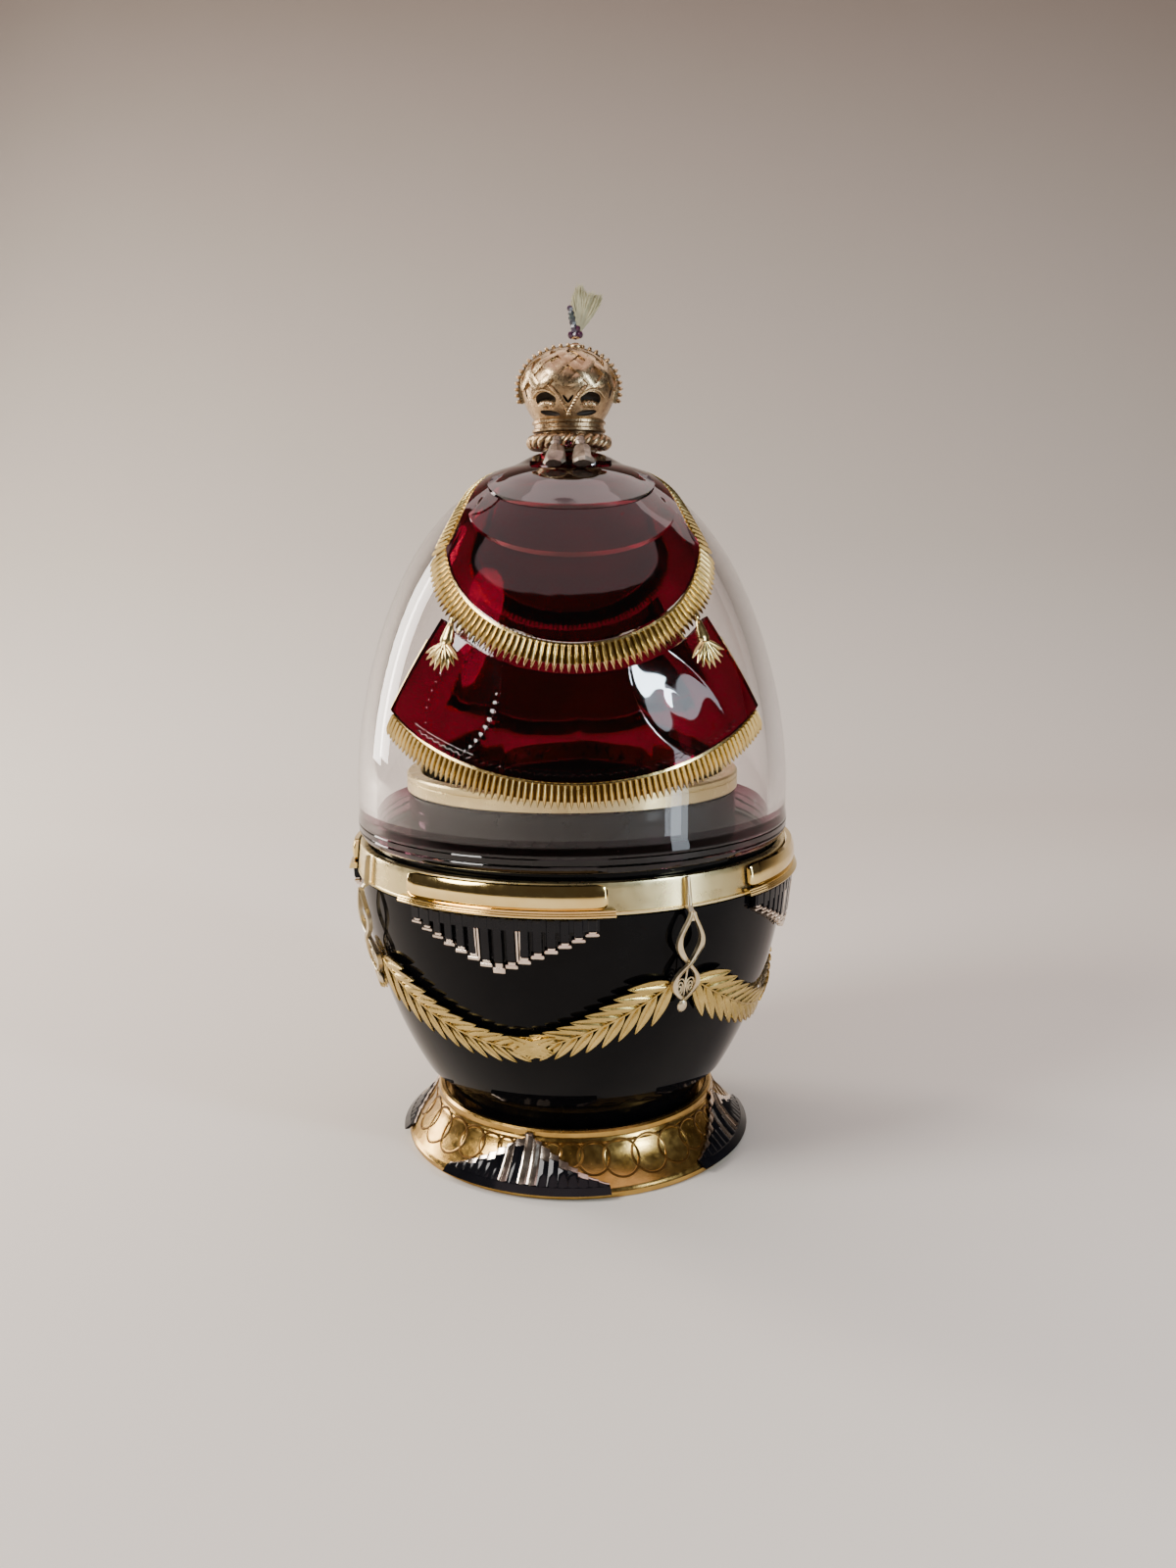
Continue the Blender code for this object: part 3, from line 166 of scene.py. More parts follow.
# Centre, half width, lean, middle and half length of the lens cuts, as shares of the skirt
LEFT_LENS = (-0.62, 0.185, -0.05, 0.44, 0.60)
RIGHT_LENS = (0.55, 0.20, 0.20, 0.46, 0.62)
LENS_DEPTH = 0.72 * MM
LENS_RIPPLES = 44.0
LENS_RIPPLE_DEPTH = 0.13 * MM
# Centre and half width of the shallow folds between them
SKIRT_FOLDS = ((-0.16, 0.17), (0.17, 0.16))
SKIRT_FOLD_DEPTH = 0.34 * MM
SKIRT_ZIGZAGS = 88
SKIRT_LINE = 0.07 * MM
FRINGE_WIDTH = 4.3 * MM
FRINGE_END_WIDTH = 1.0 * MM
FRINGE_FULL_SHARE = 0.55
STRAND_SPACING = 1.02 * MM
STRAND_SHARE = 0.87
SKIRT_TASSEL_HEIGHT = 9.4 * MM
SKIRT_TASSEL_BELL = 1.15 * MM
SKIRT_TASSEL_LEAVES = 8
SKIRT_TASSEL_DROP = 26.6 * MM
SKIRT_TASSEL_AZIMUTH = math.radians(33.5)
SKIRT_TASSEL_LEAN = math.radians(2.0)
SKIRT_WIRE_RADIUS = 0.45 * MM

# Finial
ROPE_RADIUS = 6.5 * MM
ROPE_TWISTS = 13
CAP_RADIUS = 8.5 * MM
CAP_BAND_RADIUS = 6.7 * MM
CAP_BAND_HEIGHT = 2.2 * MM
CAP_TOP_Z = ROPE_HIGH.z + HAIR + 14.5 * MM
CAP_BANDS = 10
CRESCENT_AZIMUTH = 0.54
CRESCENT_LEVEL = -0.46
ARCH_TEETH = 27
ARCH_DIP = math.radians(20.0)
SILVER_TASSEL_FACETS = 9
SILVER_TASSEL_KNOT = (2.0 * MM, -9.3 * MM, 132.2 * MM)
SILVER_TASSEL_FOOT = (2.6 * MM, -15.1 * MM, 127.0 * MM)
STEM_STONES = 6
STEM_OFFSET = 1.35 * MM
PLUME_FILAMENTS = 210
# Direction in degrees and reach in mm of the plume's ragged edge
PLUME_REACH = (
    (-22.0, 4.2), (-12.0, 6.8), (-2.0, 8.5), (3.0, 8.6),
    (11.0, 7.3), (22.0, 7.7), (34.0, 8.0), (40.0, 5.6),
)

# Room and camera
FLOOR_FRONT = -2.6
FLOOR_BACK = 0.32
FLOOR_WIDTH = 4.8
SWEEP_RADIUS = 0.12
SWEEP_STEPS = 12
BACKDROP_HEIGHT = 0.9
FLOOR_TONE = (0.72, 0.67, 0.60, 1.0)
BACKDROP_TONE = (0.11, 0.076, 0.054, 1.0)
ROOM_TONE = (0.62, 0.52, 0.46, 1.0)
ROOM_LIGHT = 0.10
CAMERA_LENS = 29.25
CAMERA_SENSOR = 36.0
CAMERA_PLACE = (2.97 * MM, -240.4 * MM, 111.3 * MM)
CAMERA_PITCH = math.radians(90.0 - 10.11)
CAMERA_ROLL = math.radians(-0.45)


def blend(low, high, share):
    return low + (high - low) * share


def ease(share):
    share = min(max(share, 0.0), 1.0)
    return share * share * (3.0 - 2.0 * share)


def at(azimuth, radius, height):
    """The point at this azimuth from the front, radius and height."""
    return Vector((radius * math.sin(azimuth), -radius * math.cos(azimuth), height))


def turns():
    """Number and azimuth of the four plates, pendants, garlands and foot panels."""
    return [(k + 1, PATTERN_TURN + math.tau * k / REPEATS) for k in range(REPEATS)]


def foot_radius_at(z):
    share = min(max((FOOT_HEIGHT - z) / (FOOT_HEIGHT - FOOT_LIP), 0.0), 1.0)
    return blend(FOOT_TOP_RADIUS, FOOT_RADIUS, share**FOOT_FLARE)


def bowl_radius_at(z):
    share = min(max((CUP_TOP_Z - z) / BOWL_SPAN, 0.0), 1.0)
    return CUP_RADIUS * (1.0 - share**BOWL_BELLY) ** (1.0 / BOWL_ROUNDNESS)


def rim_radius_at(z):
    return RIM_RADIUS - RIM_TAPER * (z - RIM_BASE_Z) / (RIM_TOP_Z - RIM_BASE_Z)


def dome_radius_at(z, wall=0.0):
    share = min(max((z - DOME_CURVE_Z) / (DOME_RISE - wall), 0.0), 1.0)
    return (DOME_RADIUS - wall) * (1.0 - share**DOME_SHARPNESS) ** (1.0 / DOME_ROUNDNESS)


def dome_height_at(radius):
    share = max(1.0 - (radius / DOME_RADIUS) ** DOME_ROUNDNESS, 0.0)
    return DOME_CURVE_Z + DOME_RISE * share ** (1.0 / DOME_SHARPNESS)


def on_dome(azimuth, radius, z, lift):
    """A point of the dome's outside, lifted along its normal."""
    share = min(max((z - DOME_CURVE_Z) / DOME_RISE, 0.0), 1.0)
    outwards = DOME_ROUNDNESS / DOME_RADIUS * (radius / DOME_RADIUS) ** (DOME_ROUNDNESS - 1.0)
    upwards = DOME_SHARPNESS / DOME_RISE * share ** (DOME_SHARPNESS - 1.0)
    length = math.hypot(outwards, upwards)
    return at(azimuth, radius + lift * outwards / length, z + lift * upwards / length)


def on_dome_at_height(azimuth, z, lift):
    return on_dome(azimuth, dome_radius_at(z), z, lift)


# Modelling by hand

def activate(obj):
    bpy.ops.object.select_all(action="DESELECT")
    obj.select_set(True)
    bpy.context.view_layer.objects.active = obj


def apply_modifier(obj, kind, **settings):
    modifier = obj.modifiers.new(kind.lower(), kind)
    for key, value in settings.items():
        setattr(modifier, key, value)
    activate(obj)
    bpy.ops.object.modifier_apply(modifier=modifier.name)


def close_up(obj):
    """Merges doubled points and turns every face outwards."""
    activate(obj)
    bpy.ops.object.mode_set(mode="EDIT")
    bpy.ops.mesh.select_all(action="SELECT")
    bpy.ops.mesh.remove_doubles(threshold=MM / 500.0)
    bpy.ops.mesh.normals_make_consistent(inside=False)
    bpy.ops.object.mode_set(mode="OBJECT")


def move_points(obj, place):
    """Puts every point of the mesh where place(x, y, z) says."""
    for vert in obj.data.vertices:
        vert.co = place(*vert.co)
    obj.data.update()


def turned(profile, steps=128):
    """One point extruded along a profile of (radius, height), and spun round the egg's axis."""
    bpy.ops.object.select_all(action="DESELECT")
    bpy.ops.mesh.primitive_plane_add(size=MM, location=(profile[0][0], 0.0, profile[0][1]))
    obj = bpy.context.object
    bpy.ops.object.mode_set(mode="EDIT")
    bpy.ops.mesh.merge(type="CENTER")
    for (r0, z0), (r1, z1) in zip(profile, profile[1:]):
        step = (r1 - r0, 0.0, z1 - z0)
        bpy.ops.mesh.extrude_region_move(TRANSFORM_OT_translate={"value": step})
    bpy.ops.mesh.select_all(action="SELECT")
    bpy.ops.mesh.spin(steps=steps, angle=math.tau, center=(0.0, 0.0, 0.0), axis=(0.0, 0.0, 1.0))
    bpy.ops.object.mode_set(mode="OBJECT")
    settle(obj)
    close_up(obj)
    return obj


def settle(obj):
    """Puts the object's place into its mesh."""
    activate(obj)
    bpy.ops.object.transform_apply(location=True, rotation=True, scale=True)


def slab(columns, rows, place):
    """A grid extruded once. place(u, v, front) puts its points: front is 0 at the back, 1 on the face."""
    bpy.ops.object.select_all(action="DESELECT")
    bpy.ops.mesh.primitive_grid_add(x_subdivisions=columns, y_subdivisions=rows, size=1.0)
    obj = bpy.context.object
    bpy.ops.object.mode_set(mode="EDIT")
    bpy.ops.mesh.select_all(action="SELECT")
    bpy.ops.mesh.extrude_region_move(TRANSFORM_OT_translate={"value": (0.0, 0.0, 1.0)})
    bpy.ops.object.mode_set(mode="OBJECT")
    move_points(obj, lambda x, y, z: place(x + 0.5, y + 0.5, round(z)))
    close_up(obj)
    return obj


def block(width, height, depth, x, y, z=0.0, round_off=0.0):
    """A bevelled bar whose middle foot is at (x, y) and whose back is at z."""
    bpy.ops.object.select_all(action="DESELECT")
    centre = (x, y + height / 2.0, z + depth / 2.0)
    bpy.ops.mesh.primitive_cube_add(size=1.0, location=centre, scale=(width, height, depth))
    obj = bpy.context.object
    settle(obj)
    if round_off:
        activate(obj)
        bpy.ops.object.mode_set(mode="EDIT")
        bpy.ops.mesh.select_all(action="SELECT")
        bpy.ops.mesh.bevel(offset=round_off, segments=1, affect="EDGES")
        bpy.ops.object.mode_set(mode="OBJECT")
    return obj


def ball(radius, stretch, place, rings=8, segments=12):
    """A sphere stretched by (x, y, z), then put where the matrix says."""
    bpy.ops.object.select_all(action="DESELECT")
    bpy.ops.mesh.primitive_uv_sphere_add(segments=segments, ring_count=rings, radius=radius)
    obj = bpy.context.object
    obj.data.transform(place @ Matrix.Diagonal((*stretch, 1.0)))
    return obj


def tube(points, radius, sides=2, closed=False):
    """A wire along these points, made a mesh with its ends welded."""
    curve = bpy.data.curves.new("wire", "CURVE")
    curve.dimensions = "3D"
    curve.bevel_depth = radius
    curve.bevel_resolution = sides
    curve.use_fill_caps = not closed
    spline = curve.splines.new("POLY")
    spline.points.add(len(points) - 1)
    for i, point in enumerate(points):
        spline.points[i].co = (*point, 1.0)
    spline.use_cyclic_u = closed
    obj = bpy.data.objects.new("wire", curve)
    bpy.context.scene.collection.objects.link(obj)
    activate(obj)
    bpy.ops.object.convert(target="MESH")
    obj = bpy.context.object
    close_up(obj)
    return obj


def copy_of(obj, place):
    """A copy with its own mesh, moved by a matrix."""
    new = obj.copy()
    new.data = obj.data.copy()
    new.data.transform(place)
    bpy.context.scene.collection.objects.link(new)
    return new


def drop(obj):
    mesh = obj.data
    bpy.data.objects.remove(obj, do_unlink=True)
    bpy.data.meshes.remove(mesh)


def join(parts):
    bpy.ops.object.select_all(action="DESELECT")
    for part in parts:
        part.select_set(True)
    bpy.context.view_layer.objects.active = parts[0]
    if len(parts) > 1:
        bpy.ops.object.join()
    return bpy.context.view_layer.objects.active


def dress(obj, *materials):
    obj.data.materials.clear()
    for material in materials:
        obj.data.materials.append(material)
    return obj


def keep(obj, name, angle=32.0):
    """Names a finished piece, smooths it and lets it stand for the node of the same name."""
    obj.name = name + "_piece"
    obj.data.name = obj.name
    activate(obj)
    bpy.ops.object.shade_smooth_by_angle(angle=math.radians(angle))
    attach(obj, "root")
    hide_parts(name)
    return obj


# Finishes

def new_finish(name):
    material = bpy.data.materials.new(name)
    material.use_nodes = True
    return material, material.node_tree.nodes["Principled BSDF"]


def link(material, source, target):
    material.node_tree.links.new(source, target)


def node(material, kind, **settings):
    made = material.node_tree.nodes.new("ShaderNode" + kind)
    for key, value in settings.items():
        setattr(made, key, value)
    return made


def cloudy(material, scale, detail=4.0):
    """Noise in the object's own coordinates. Its scale is in spots per millimetre."""
    where = node(material, "TexCoord")
    spots = node(material, "TexNoise")
    spots.inputs["Scale"].default_value = scale / MM
    spots.inputs["Detail"].default_value = detail
    link(material, where.outputs["Object"], spots.inputs["Vector"])
    return spots.outputs["Fac"]


def spread(material, fac, low, high):
    """Noise values stretched to run from low to high."""
    span = node(material, "MapRange")
    span.inputs["From Min"].default_value = 0.3
    span.inputs["From Max"].default_value = 0.7
    span.inputs["To Min"].default_value = low
    span.inputs["To Max"].default_value = high
    link(material, fac, span.inputs["Value"])
    return span.outputs["Result"]


def tinted(material, fac, one, other):
    mix = node(material, "Mix", data_type="RGBA")
    mix.inputs["A"].default_value = (*one, 1.0)
    mix.inputs["B"].default_value = (*other, 1.0)
    link(material, spread(material, fac, 0.0, 1.0), mix.inputs["Factor"])
    return mix.outputs["Result"]


def bumpy(material, shader, fac, strength, depth):
    bump = node(material, "Bump")
    bump.inputs["Strength"].default_value = strength
    bump.inputs["Distance"].default_value = depth
    link(material, fac, bump.inputs["Height"])
    link(material, bump.outputs["Normal"], shader.inputs["Normal"])


def metal(name, bright, deep, roughness, patches=0.25, grain=6.0, grain_depth=0.02 * MM):
    """A metal with slow patches of tone and a fine grain."""
    material, shader = new_finish(name)
    shader.inputs["Metallic"].default_value = 1.0
    patch = cloudy(material, patches)
    link(material, tinted(material, patch, bright, deep), shader.inputs["Base Color"])
    wear = cloudy(material, patches * 3.0, 6.0)
    low, high = roughness
    link(material, spread(material, wear, low, high), shader.inputs["Roughness"])
    bumpy(material, shader, cloudy(material, grain, 3.0), 0.5, grain_depth)
    return material


def gloss(name, colour, other, roughness=0.04, specular=0.5):
    """Glass or enamel that nothing is seen through."""
    material, shader = new_finish(name)
    link(material, tinted(material, cloudy(material, 0.2), colour, other), shader.inputs["Base Color"])
    smudges = spread(material, cloudy(material, 0.35, 6.0), roughness, roughness * 2.0)
    link(material, smudges, shader.inputs["Roughness"])
    shader.inputs["IOR"].default_value = 1.5
    shader.inputs["Specular IOR Level"].default_value = specular
    return material


def clear(name, colour, other, ior=1.45, specular=0.5, roughness=0.0, wave=0.0):
    """Glass that is seen through."""
    material, shader = new_finish(name)
    link(material, tinted(material, cloudy(material, 0.1), colour, other), shader.inputs["Base Color"])
    shader.inputs["Roughness"].default_value = roughness
    shader.inputs["IOR"].default_value = ior
    shader.inputs["Specular IOR Level"].default_value = specular
    shader.inputs["Transmission Weight"].default_value = 1.0
    if wave:
        bumpy(material, shader, cloudy(material, 0.12, 2.0), 0.3, wave)
    return material


FOOT_GILT = metal("foot_gilt", (0.62, 0.40, 0.12), (0.43, 0.25, 0.06), (0.15, 0.28))
RIM_GILT = metal(
    "brushed_rim_gilt", (0.95, 0.81, 0.43), (0.88, 0.71, 0.34), (0.24, 0.34), 0.12, 9.0, 0.012 * MM
)
PLATE_GILT = metal(
    "mirror_plate_gilt", (0.92, 0.72, 0.31), (0.84, 0.61, 0.22), (0.06, 0.13), grain_depth=0.002 * MM
)
FRINGE_GILT = metal("fringe_gilt", (0.80, 0.62, 0.27), (0.56, 0.42, 0.17), (0.14, 0.30), grain=4.0)
LEAF_GILT = metal("satin_leaf_gilt", (0.72, 0.54, 0.20), (0.48, 0.35, 0.11), (0.20, 0.36), grain=5.0)
RIBBON_GILT = metal("pale_ribbon_gilt", (0.84, 0.75, 0.54), (0.66, 0.55, 0.36), (0.26, 0.42), grain=8.0)
CAP_GILT = metal("cap_rose_gilt", (0.56, 0.40, 0.23), (0.26, 0.165, 0.085), (0.24, 0.42), 0.7, 2.5, 0.12 * MM)
CAP_BAND_GILT = metal(
    "cap_band_gilt", (0.66, 0.49, 0.29), (0.36, 0.25, 0.13), (0.22, 0.40), 0.9, 3.0, 0.09 * MM
)
SILVER = metal("grey_silver", (0.42, 0.35, 0.28), (0.18, 0.15, 0.12), (0.34, 0.55), 0.9, 2.5, 0.05 * MM)
FEET_SILVER = metal("rosy_silver", (0.88, 0.76, 0.64), (0.70, 0.57, 0.47), (0.10, 0.22))
# Dark gilt that paints shade: the shade of the engraved grooves on the foot and the gaps between fringe
# threads.
PAINTED_SHADE_GILT = metal("painted_shade_gilt", (0.16, 0.085, 0.025), (0.09, 0.045, 0.012), (0.35, 0.50))
# Near black that paints the shade inside the pockets cut into the finial cap.
POCKET_SHADE = gloss("painted_pocket_shade", (0.020, 0.013, 0.008), (0.035, 0.022, 0.012), 0.40)
BLACK_GLASS = gloss("black_glass", (0.0015, 0.0015, 0.002), (0.003, 0.003, 0.0035), 0.012, 0.10)
ENAMEL = gloss("black_enamel", (0.003, 0.003, 0.004), (0.007, 0.007, 0.009), 0.05, 0.20)
CRYSTAL = clear("clear_crystal", (1.0, 0.985, 0.985), (0.985, 0.965, 0.97), specular=0.13)
CRYSTAL_FOOT = clear("plum_dome_foot", (0.07, 0.018, 0.030), (0.045, 0.012, 0.020))
RUBY = clear(
    "ruby_glass", (0.170, 0.003, 0.014), (0.110, 0.002, 0.010), 1.52, 0.36, roughness=0.035, wave=0.10 * MM
)
STONE = gloss("dark_stones", (0.03, 0.06, 0.05), (0.09, 0.02, 0.08), 0.06)
PLUM_STONE = gloss("plum_stones", (0.075, 0.018, 0.045), (0.04, 0.014, 0.035), 0.06)
PLUME = gloss("pale_plume", (0.38, 0.36, 0.20), (0.62, 0.58, 0.38), 0.60)


# Foot

def make_foot_ring():
    """The flared ring with two fine lines under its top edge and a rolled lip below."""
    inner = FOOT_TOP_RADIUS - FOOT_TOP_WALL
    line, sunk = 0.35 * MM, 0.14 * MM
    profile = [(inner, FOOT_HEIGHT - line), (inner + line, FOOT_HEIGHT), (FOOT_TOP_RADIUS - line, FOOT_HEIGHT)]
    flare_steps, line_steps = 36, (4, 5, 8)
    for i in range(flare_steps + 1):
        z = blend(FOOT_HEIGHT - line, FOOT_LIP + line, i / flare_steps)
        radius = foot_radius_at(z)
        if i in line_steps:
            radius -= sunk
        profile.append((radius, z))
    lip = FOOT_RADIUS
    profile += [
        (lip - 0.30 * MM, FOOT_LIP + 0.1 * MM),
        (lip - 0.05 * MM, FOOT_LIP - 0.15 * MM),
        (lip, FOOT_LIP * 0.5),
        (lip - 0.15 * MM, 0.12 * MM),
        (lip - 0.5 * MM, 0.0),
        (lip - FOOT_BASE_WALL, 0.0),
        (inner, FOOT_SHELF_Z - FOOT_SHELF_THICKNESS),
        (inner - FOOT_SHELF_WIDTH, FOOT_SHELF_Z - FOOT_SHELF_THICKNESS),
        (inner - FOOT_SHELF_WIDTH, FOOT_SHELF_Z),
        (inner, FOOT_SHELF_Z),
        (inner, FOOT_HEIGHT - line),
    ]
    ring = dress(turned(profile, 160), FOOT_GILT)
    parts = [ring]
    for _, turn in turns():
        parts += engraved_circles(turn + math.pi / REPEATS)
    keep(join(parts), "foot_ring")


def engraved_circles(azimuth):
    """Interlaced circles on the flare, largest in the middle, each a dark line of painted groove shade with a
    bright edge.
    """
    count, corners, middle, overlap = 11, 36, 5.5 * MM, 0.80
    swings = [math.sin(math.pi * (i + 0.5) / count) ** 1.4 for i in range(count)]
    radii = [blend(1.0, 3.5, swing) * MM for swing in swings]
    heights = [middle + blend(1.6, 0.0, swing) * MM for swing in swings]
    places = [0.0]
    for small, large in zip(radii, radii[1:]):
        places.append(places[-1] + (small + large) * overlap)
    centre = places[-1] / 2.0
    steep = (FOOT_HEIGHT - FOOT_LIP) / math.hypot(FOOT_HEIGHT - FOOT_LIP, FOOT_RADIUS - FOOT_TOP_RADIUS)

    def circles(inset, line):
        rings = []
        for place, height, radius in zip(places, heights, radii):
            points = []
            for i in range(corners):
                swing = math.tau * i / corners
                z = height + (radius - inset) * math.sin(swing) * steep
                across = place - centre + (radius - inset) * math.cos(swing)
                points.append(at(azimuth + across / foot_radius_at(middle), foot_radius_at(z) - line * 0.2, z))
            rings.append(tube(points, line, sides=1, closed=True))
        return join(rings)

    # The dark rings paint the shade inside engraved grooves; the gilt rings within them are their bright edges.
    return [dress(circles(0.0, 0.20 * MM), PAINTED_SHADE_GILT), dress(circles(0.26 * MM, 0.09 * MM), FOOT_GILT)]


def make_foot_panels():
    """Upright bars on a black base bar, tallest in the middle: black faces under rosy silver tops."""
    middle = PANEL_BARS // 2
    base_z, base_height = FOOT_LIP + 0.05 * MM, 1.0 * MM
    tallest = FOOT_HEIGHT - base_z - base_height - 0.5 * MM
    width = 2.0 * PANEL_HALF_ARC / PANEL_BARS
    silver_depth, black_depth, bright_depth = 0.34 * MM, 0.74 * MM, 0.70 * MM

    def bend(azimuth, obj):
        def place(x, y, z):
            height = base_z + y
            return at(azimuth + x, foot_radius_at(height) + HAIR + z, height)

        move_points(obj, place)
        return obj

    for number, azimuth in turns():
        blacks = [base_bar(base_height)]
        silvers = []
        for bar in range(PANEL_BARS):
            rank = middle - abs(bar - middle)
            x = blend(-PANEL_HALF_ARC, PANEL_HALF_ARC, (bar + 0.5) / PANEL_BARS)
            height = tallest * ((rank + 1) / (middle + 1)) ** 1.35
            slant = 0.45 * MM * ((bar < middle) - (bar > middle))
            silvers.append(tall_block(width * 0.97, height, silver_depth, x, base_height, slant))
            if bar - middle not in BRIGHT_BARS:
                cover = height * DARK_SHARES[bar % len(DARK_SHARES)]
                blacks.append(tall_block(width * 0.99, cover, black_depth, x, base_height, slant))
            else:
                size = (width * 0.60, height * 0.97, bright_depth)
                silvers.append(tall_block(*size, x, base_height, slant * 2.0))
        dark = dress(join([bend(azimuth, obj) for obj in blacks]), ENAMEL)
        light = dress(join([bend(azimuth, obj) for obj in silvers]), FEET_SILVER)
        keep(join([dark, light]), f"foot_panel_{number}")


def base_bar(height):
    def place(u, v, front):
        return (blend(-PANEL_HALF_ARC, PANEL_HALF_ARC, u), v * height, front * 0.8 * MM)

    return slab(24, 1, place)


def tall_block(width, height, depth, x, y, slant=0.0):
    """A bar with a ridge down its face and a slanted top, in (azimuth, up, out)."""
    def place(u, v, front):
        ridge = 1.0 - abs(2.0 * u - 1.0) * 0.45
        top = height + slant * (u - 0.5)
        return (x + (u - 0.5) * width, y + v * top, front * depth * ridge)

    return slab(2, 3, place)


# Cup, rim and neck

def make_cup():
    """The black glass bowl, hollow, on a flaring base band with a groove over it."""
    band_top = CUP_BASE_Z + BAND_HEIGHT
    floor = CUP_BASE_Z + CUP_FLOOR
    profile = [(0.0, floor), (CUP_BASE_RADIUS - CUP_WALL - 2.0 * MM, floor)]
    inner_steps = 24
    for i in range(inner_steps + 1):
        share = i / inner_steps
        z = blend(floor + 1.5 * MM, CUP_TOP_Z, share)
        wall = bowl_radius_at(max(z, band_top)) - CUP_WALL
        profile.append((min(wall, blend(CUP_BASE_RADIUS - CUP_WALL, CUP_RADIUS, math.sqrt(share))), z))
    profile += [
        (NECK_INNER_RADIUS + 6.0 * MM, CUP_TOP_Z + 1.0 * MM),
        (NECK_INNER_RADIUS, SHOULDER_Z - 1.6 * MM),
        (NECK_INNER_RADIUS, NECK_TOP_Z),
        (NECK_RADIUS, NECK_TOP_Z),
        (NECK_RADIUS, SHOULDER_Z),
        (RIM_INNER_RADIUS - HAIR, SHOULDER_Z),
        (RIM_INNER_RADIUS - HAIR, CUP_TOP_Z),
    ]
    bowl_steps = 56
    for i in range(bowl_steps + 1):
        z = blend(CUP_TOP_Z, band_top + 0.7 * MM, i / bowl_steps)
        profile.append((bowl_radius_at(z), z))
    flare = CUP_BASE_RADIUS + BAND_FLARE
    profile += [
        (bowl_radius_at(band_top) - 0.6 * MM, band_top + 0.35 * MM),
        (flare - 0.25 * MM, band_top + 0.15 * MM),
        (flare, band_top - 0.1 * MM),
    ]
    band_steps = 14
    for i in range(1, band_steps + 1):
        share = i / band_steps
        profile.append((CUP_BASE_RADIUS + BAND_FLARE * (1.0 - share) ** 1.7, band_top - BAND_HEIGHT * share))
    profile.append((0.0, CUP_BASE_Z))
    keep(dress(turned(profile, 160), BLACK_GLASS), "cup")


def make_cup_rim():
    """The flat gilt rim with softened edges and a fine bead at its foot."""
    outer, edge = RIM_RADIUS, 0.25 * MM
    profile = [
        (RIM_INNER_RADIUS, RIM_TOP_Z - edge),
        (RIM_INNER_RADIUS + edge, RIM_TOP_Z),
        (rim_radius_at(RIM_TOP_Z) - edge * 1.5, RIM_TOP_Z),
        (rim_radius_at(RIM_TOP_Z) - edge * 0.4, RIM_TOP_Z - edge * 0.4),
    ]
    for i in range(7):
        z = blend(RIM_TOP_Z - edge * 1.4, RIM_BASE_Z + 0.75 * MM, i / 6.0)
        profile.append((rim_radius_at(z) - 0.04 * MM, z))
    profile += [
        (outer - 0.20 * MM, RIM_BASE_Z + 0.62 * MM),
        (outer, RIM_BASE_Z + 0.45 * MM),
        (outer, RIM_BASE_Z + 0.15 * MM),
        (outer - 0.2 * MM, RIM_BASE_Z),
        (RIM_INNER_RADIUS, RIM_BASE_Z),
        (RIM_INNER_RADIUS, RIM_TOP_Z - edge),
    ]
    keep(dress(turned(profile, 160), RIM_GILT), "cup_rim")


def make_neck_ring():
    low, high = NECK_RING_LOW.z, NECK_RING_HIGH.z
    outer, edge = NECK_RING_HIGH.x, 0.3 * MM
    profile = [
        (NECK_INNER_RADIUS, high - edge),
        (NECK_INNER_RADIUS + edge, high),
        (outer - edge, high),
        (outer, high - edge),
        (outer, high - 0.9 * MM),
        (outer - 0.12 * MM, high - 1.0 * MM),
        (outer - 0.12 * MM, high - 1.15 * MM),
        (outer, high - 1.25 * MM),
        (outer, low + edge),
        (outer - edge, low),
        (NECK_INNER_RADIUS, low),
        (NECK_INNER_RADIUS, high - edge),
    ]
    keep(dress(turned(profile, 128), RIM_GILT), "neck_ring")


def make_rim_plates():
    """Mirror plates: a swelling body with rounded ends over a longer lip of three fine ridges."""
    lip_low = RIM_BASE_Z + 0.2 * MM
    lip_height = 1.05 * MM
    body_low = lip_low + lip_height
    body_high = RIM_TOP_Z - 0.2 * MM
    body_arc = PLATE_HALF_ARC * 0.94

    for number, azimuth in turns():
        def lip(u, v, front):
            ridge = 0.5 - 0.5 * math.cos(v * math.tau * 3.0)
            out = blend(1.25, 1.50, 1.0 - v) * MM + 0.16 * MM * ridge
            z = lip_low + v * lip_height
            x = blend(-PLATE_HALF_ARC, PLATE_HALF_ARC, u)
            return at(azimuth + x, rim_radius_at(z) + HAIR + front * (out - 0.16 * MM), z)

        def body(u, v, front):
            end = min(u, 1.0 - u) * 2.0 * body_arc * RIM_RADIUS
            pinch = 1.0 - math.sqrt(max(1.0 - (1.0 - min(end / (2.0 * MM), 1.0)) ** 2, 0.0))
            z = blend(body_low, body_high, blend(v, 0.5, pinch * 0.40))
            swell = math.sin(math.pi * blend(0.16, 0.96, 1.0 - v)) ** 0.62
            fall = math.sqrt(max(min(end / (2.4 * MM), 1.0), 0.0))
            out = (0.30 + 0.95 * swell * blend(0.35, 1.0, fall)) * MM
            x = blend(-body_arc, body_arc, u)
            return at(azimuth + x, rim_radius_at(z) + HAIR + front * out, z)

        parts = [slab(60, 18, lip), slab(120, 20, body)]
        keep(dress(join(parts), PLATE_GILT), f"rim_plate_{number}")


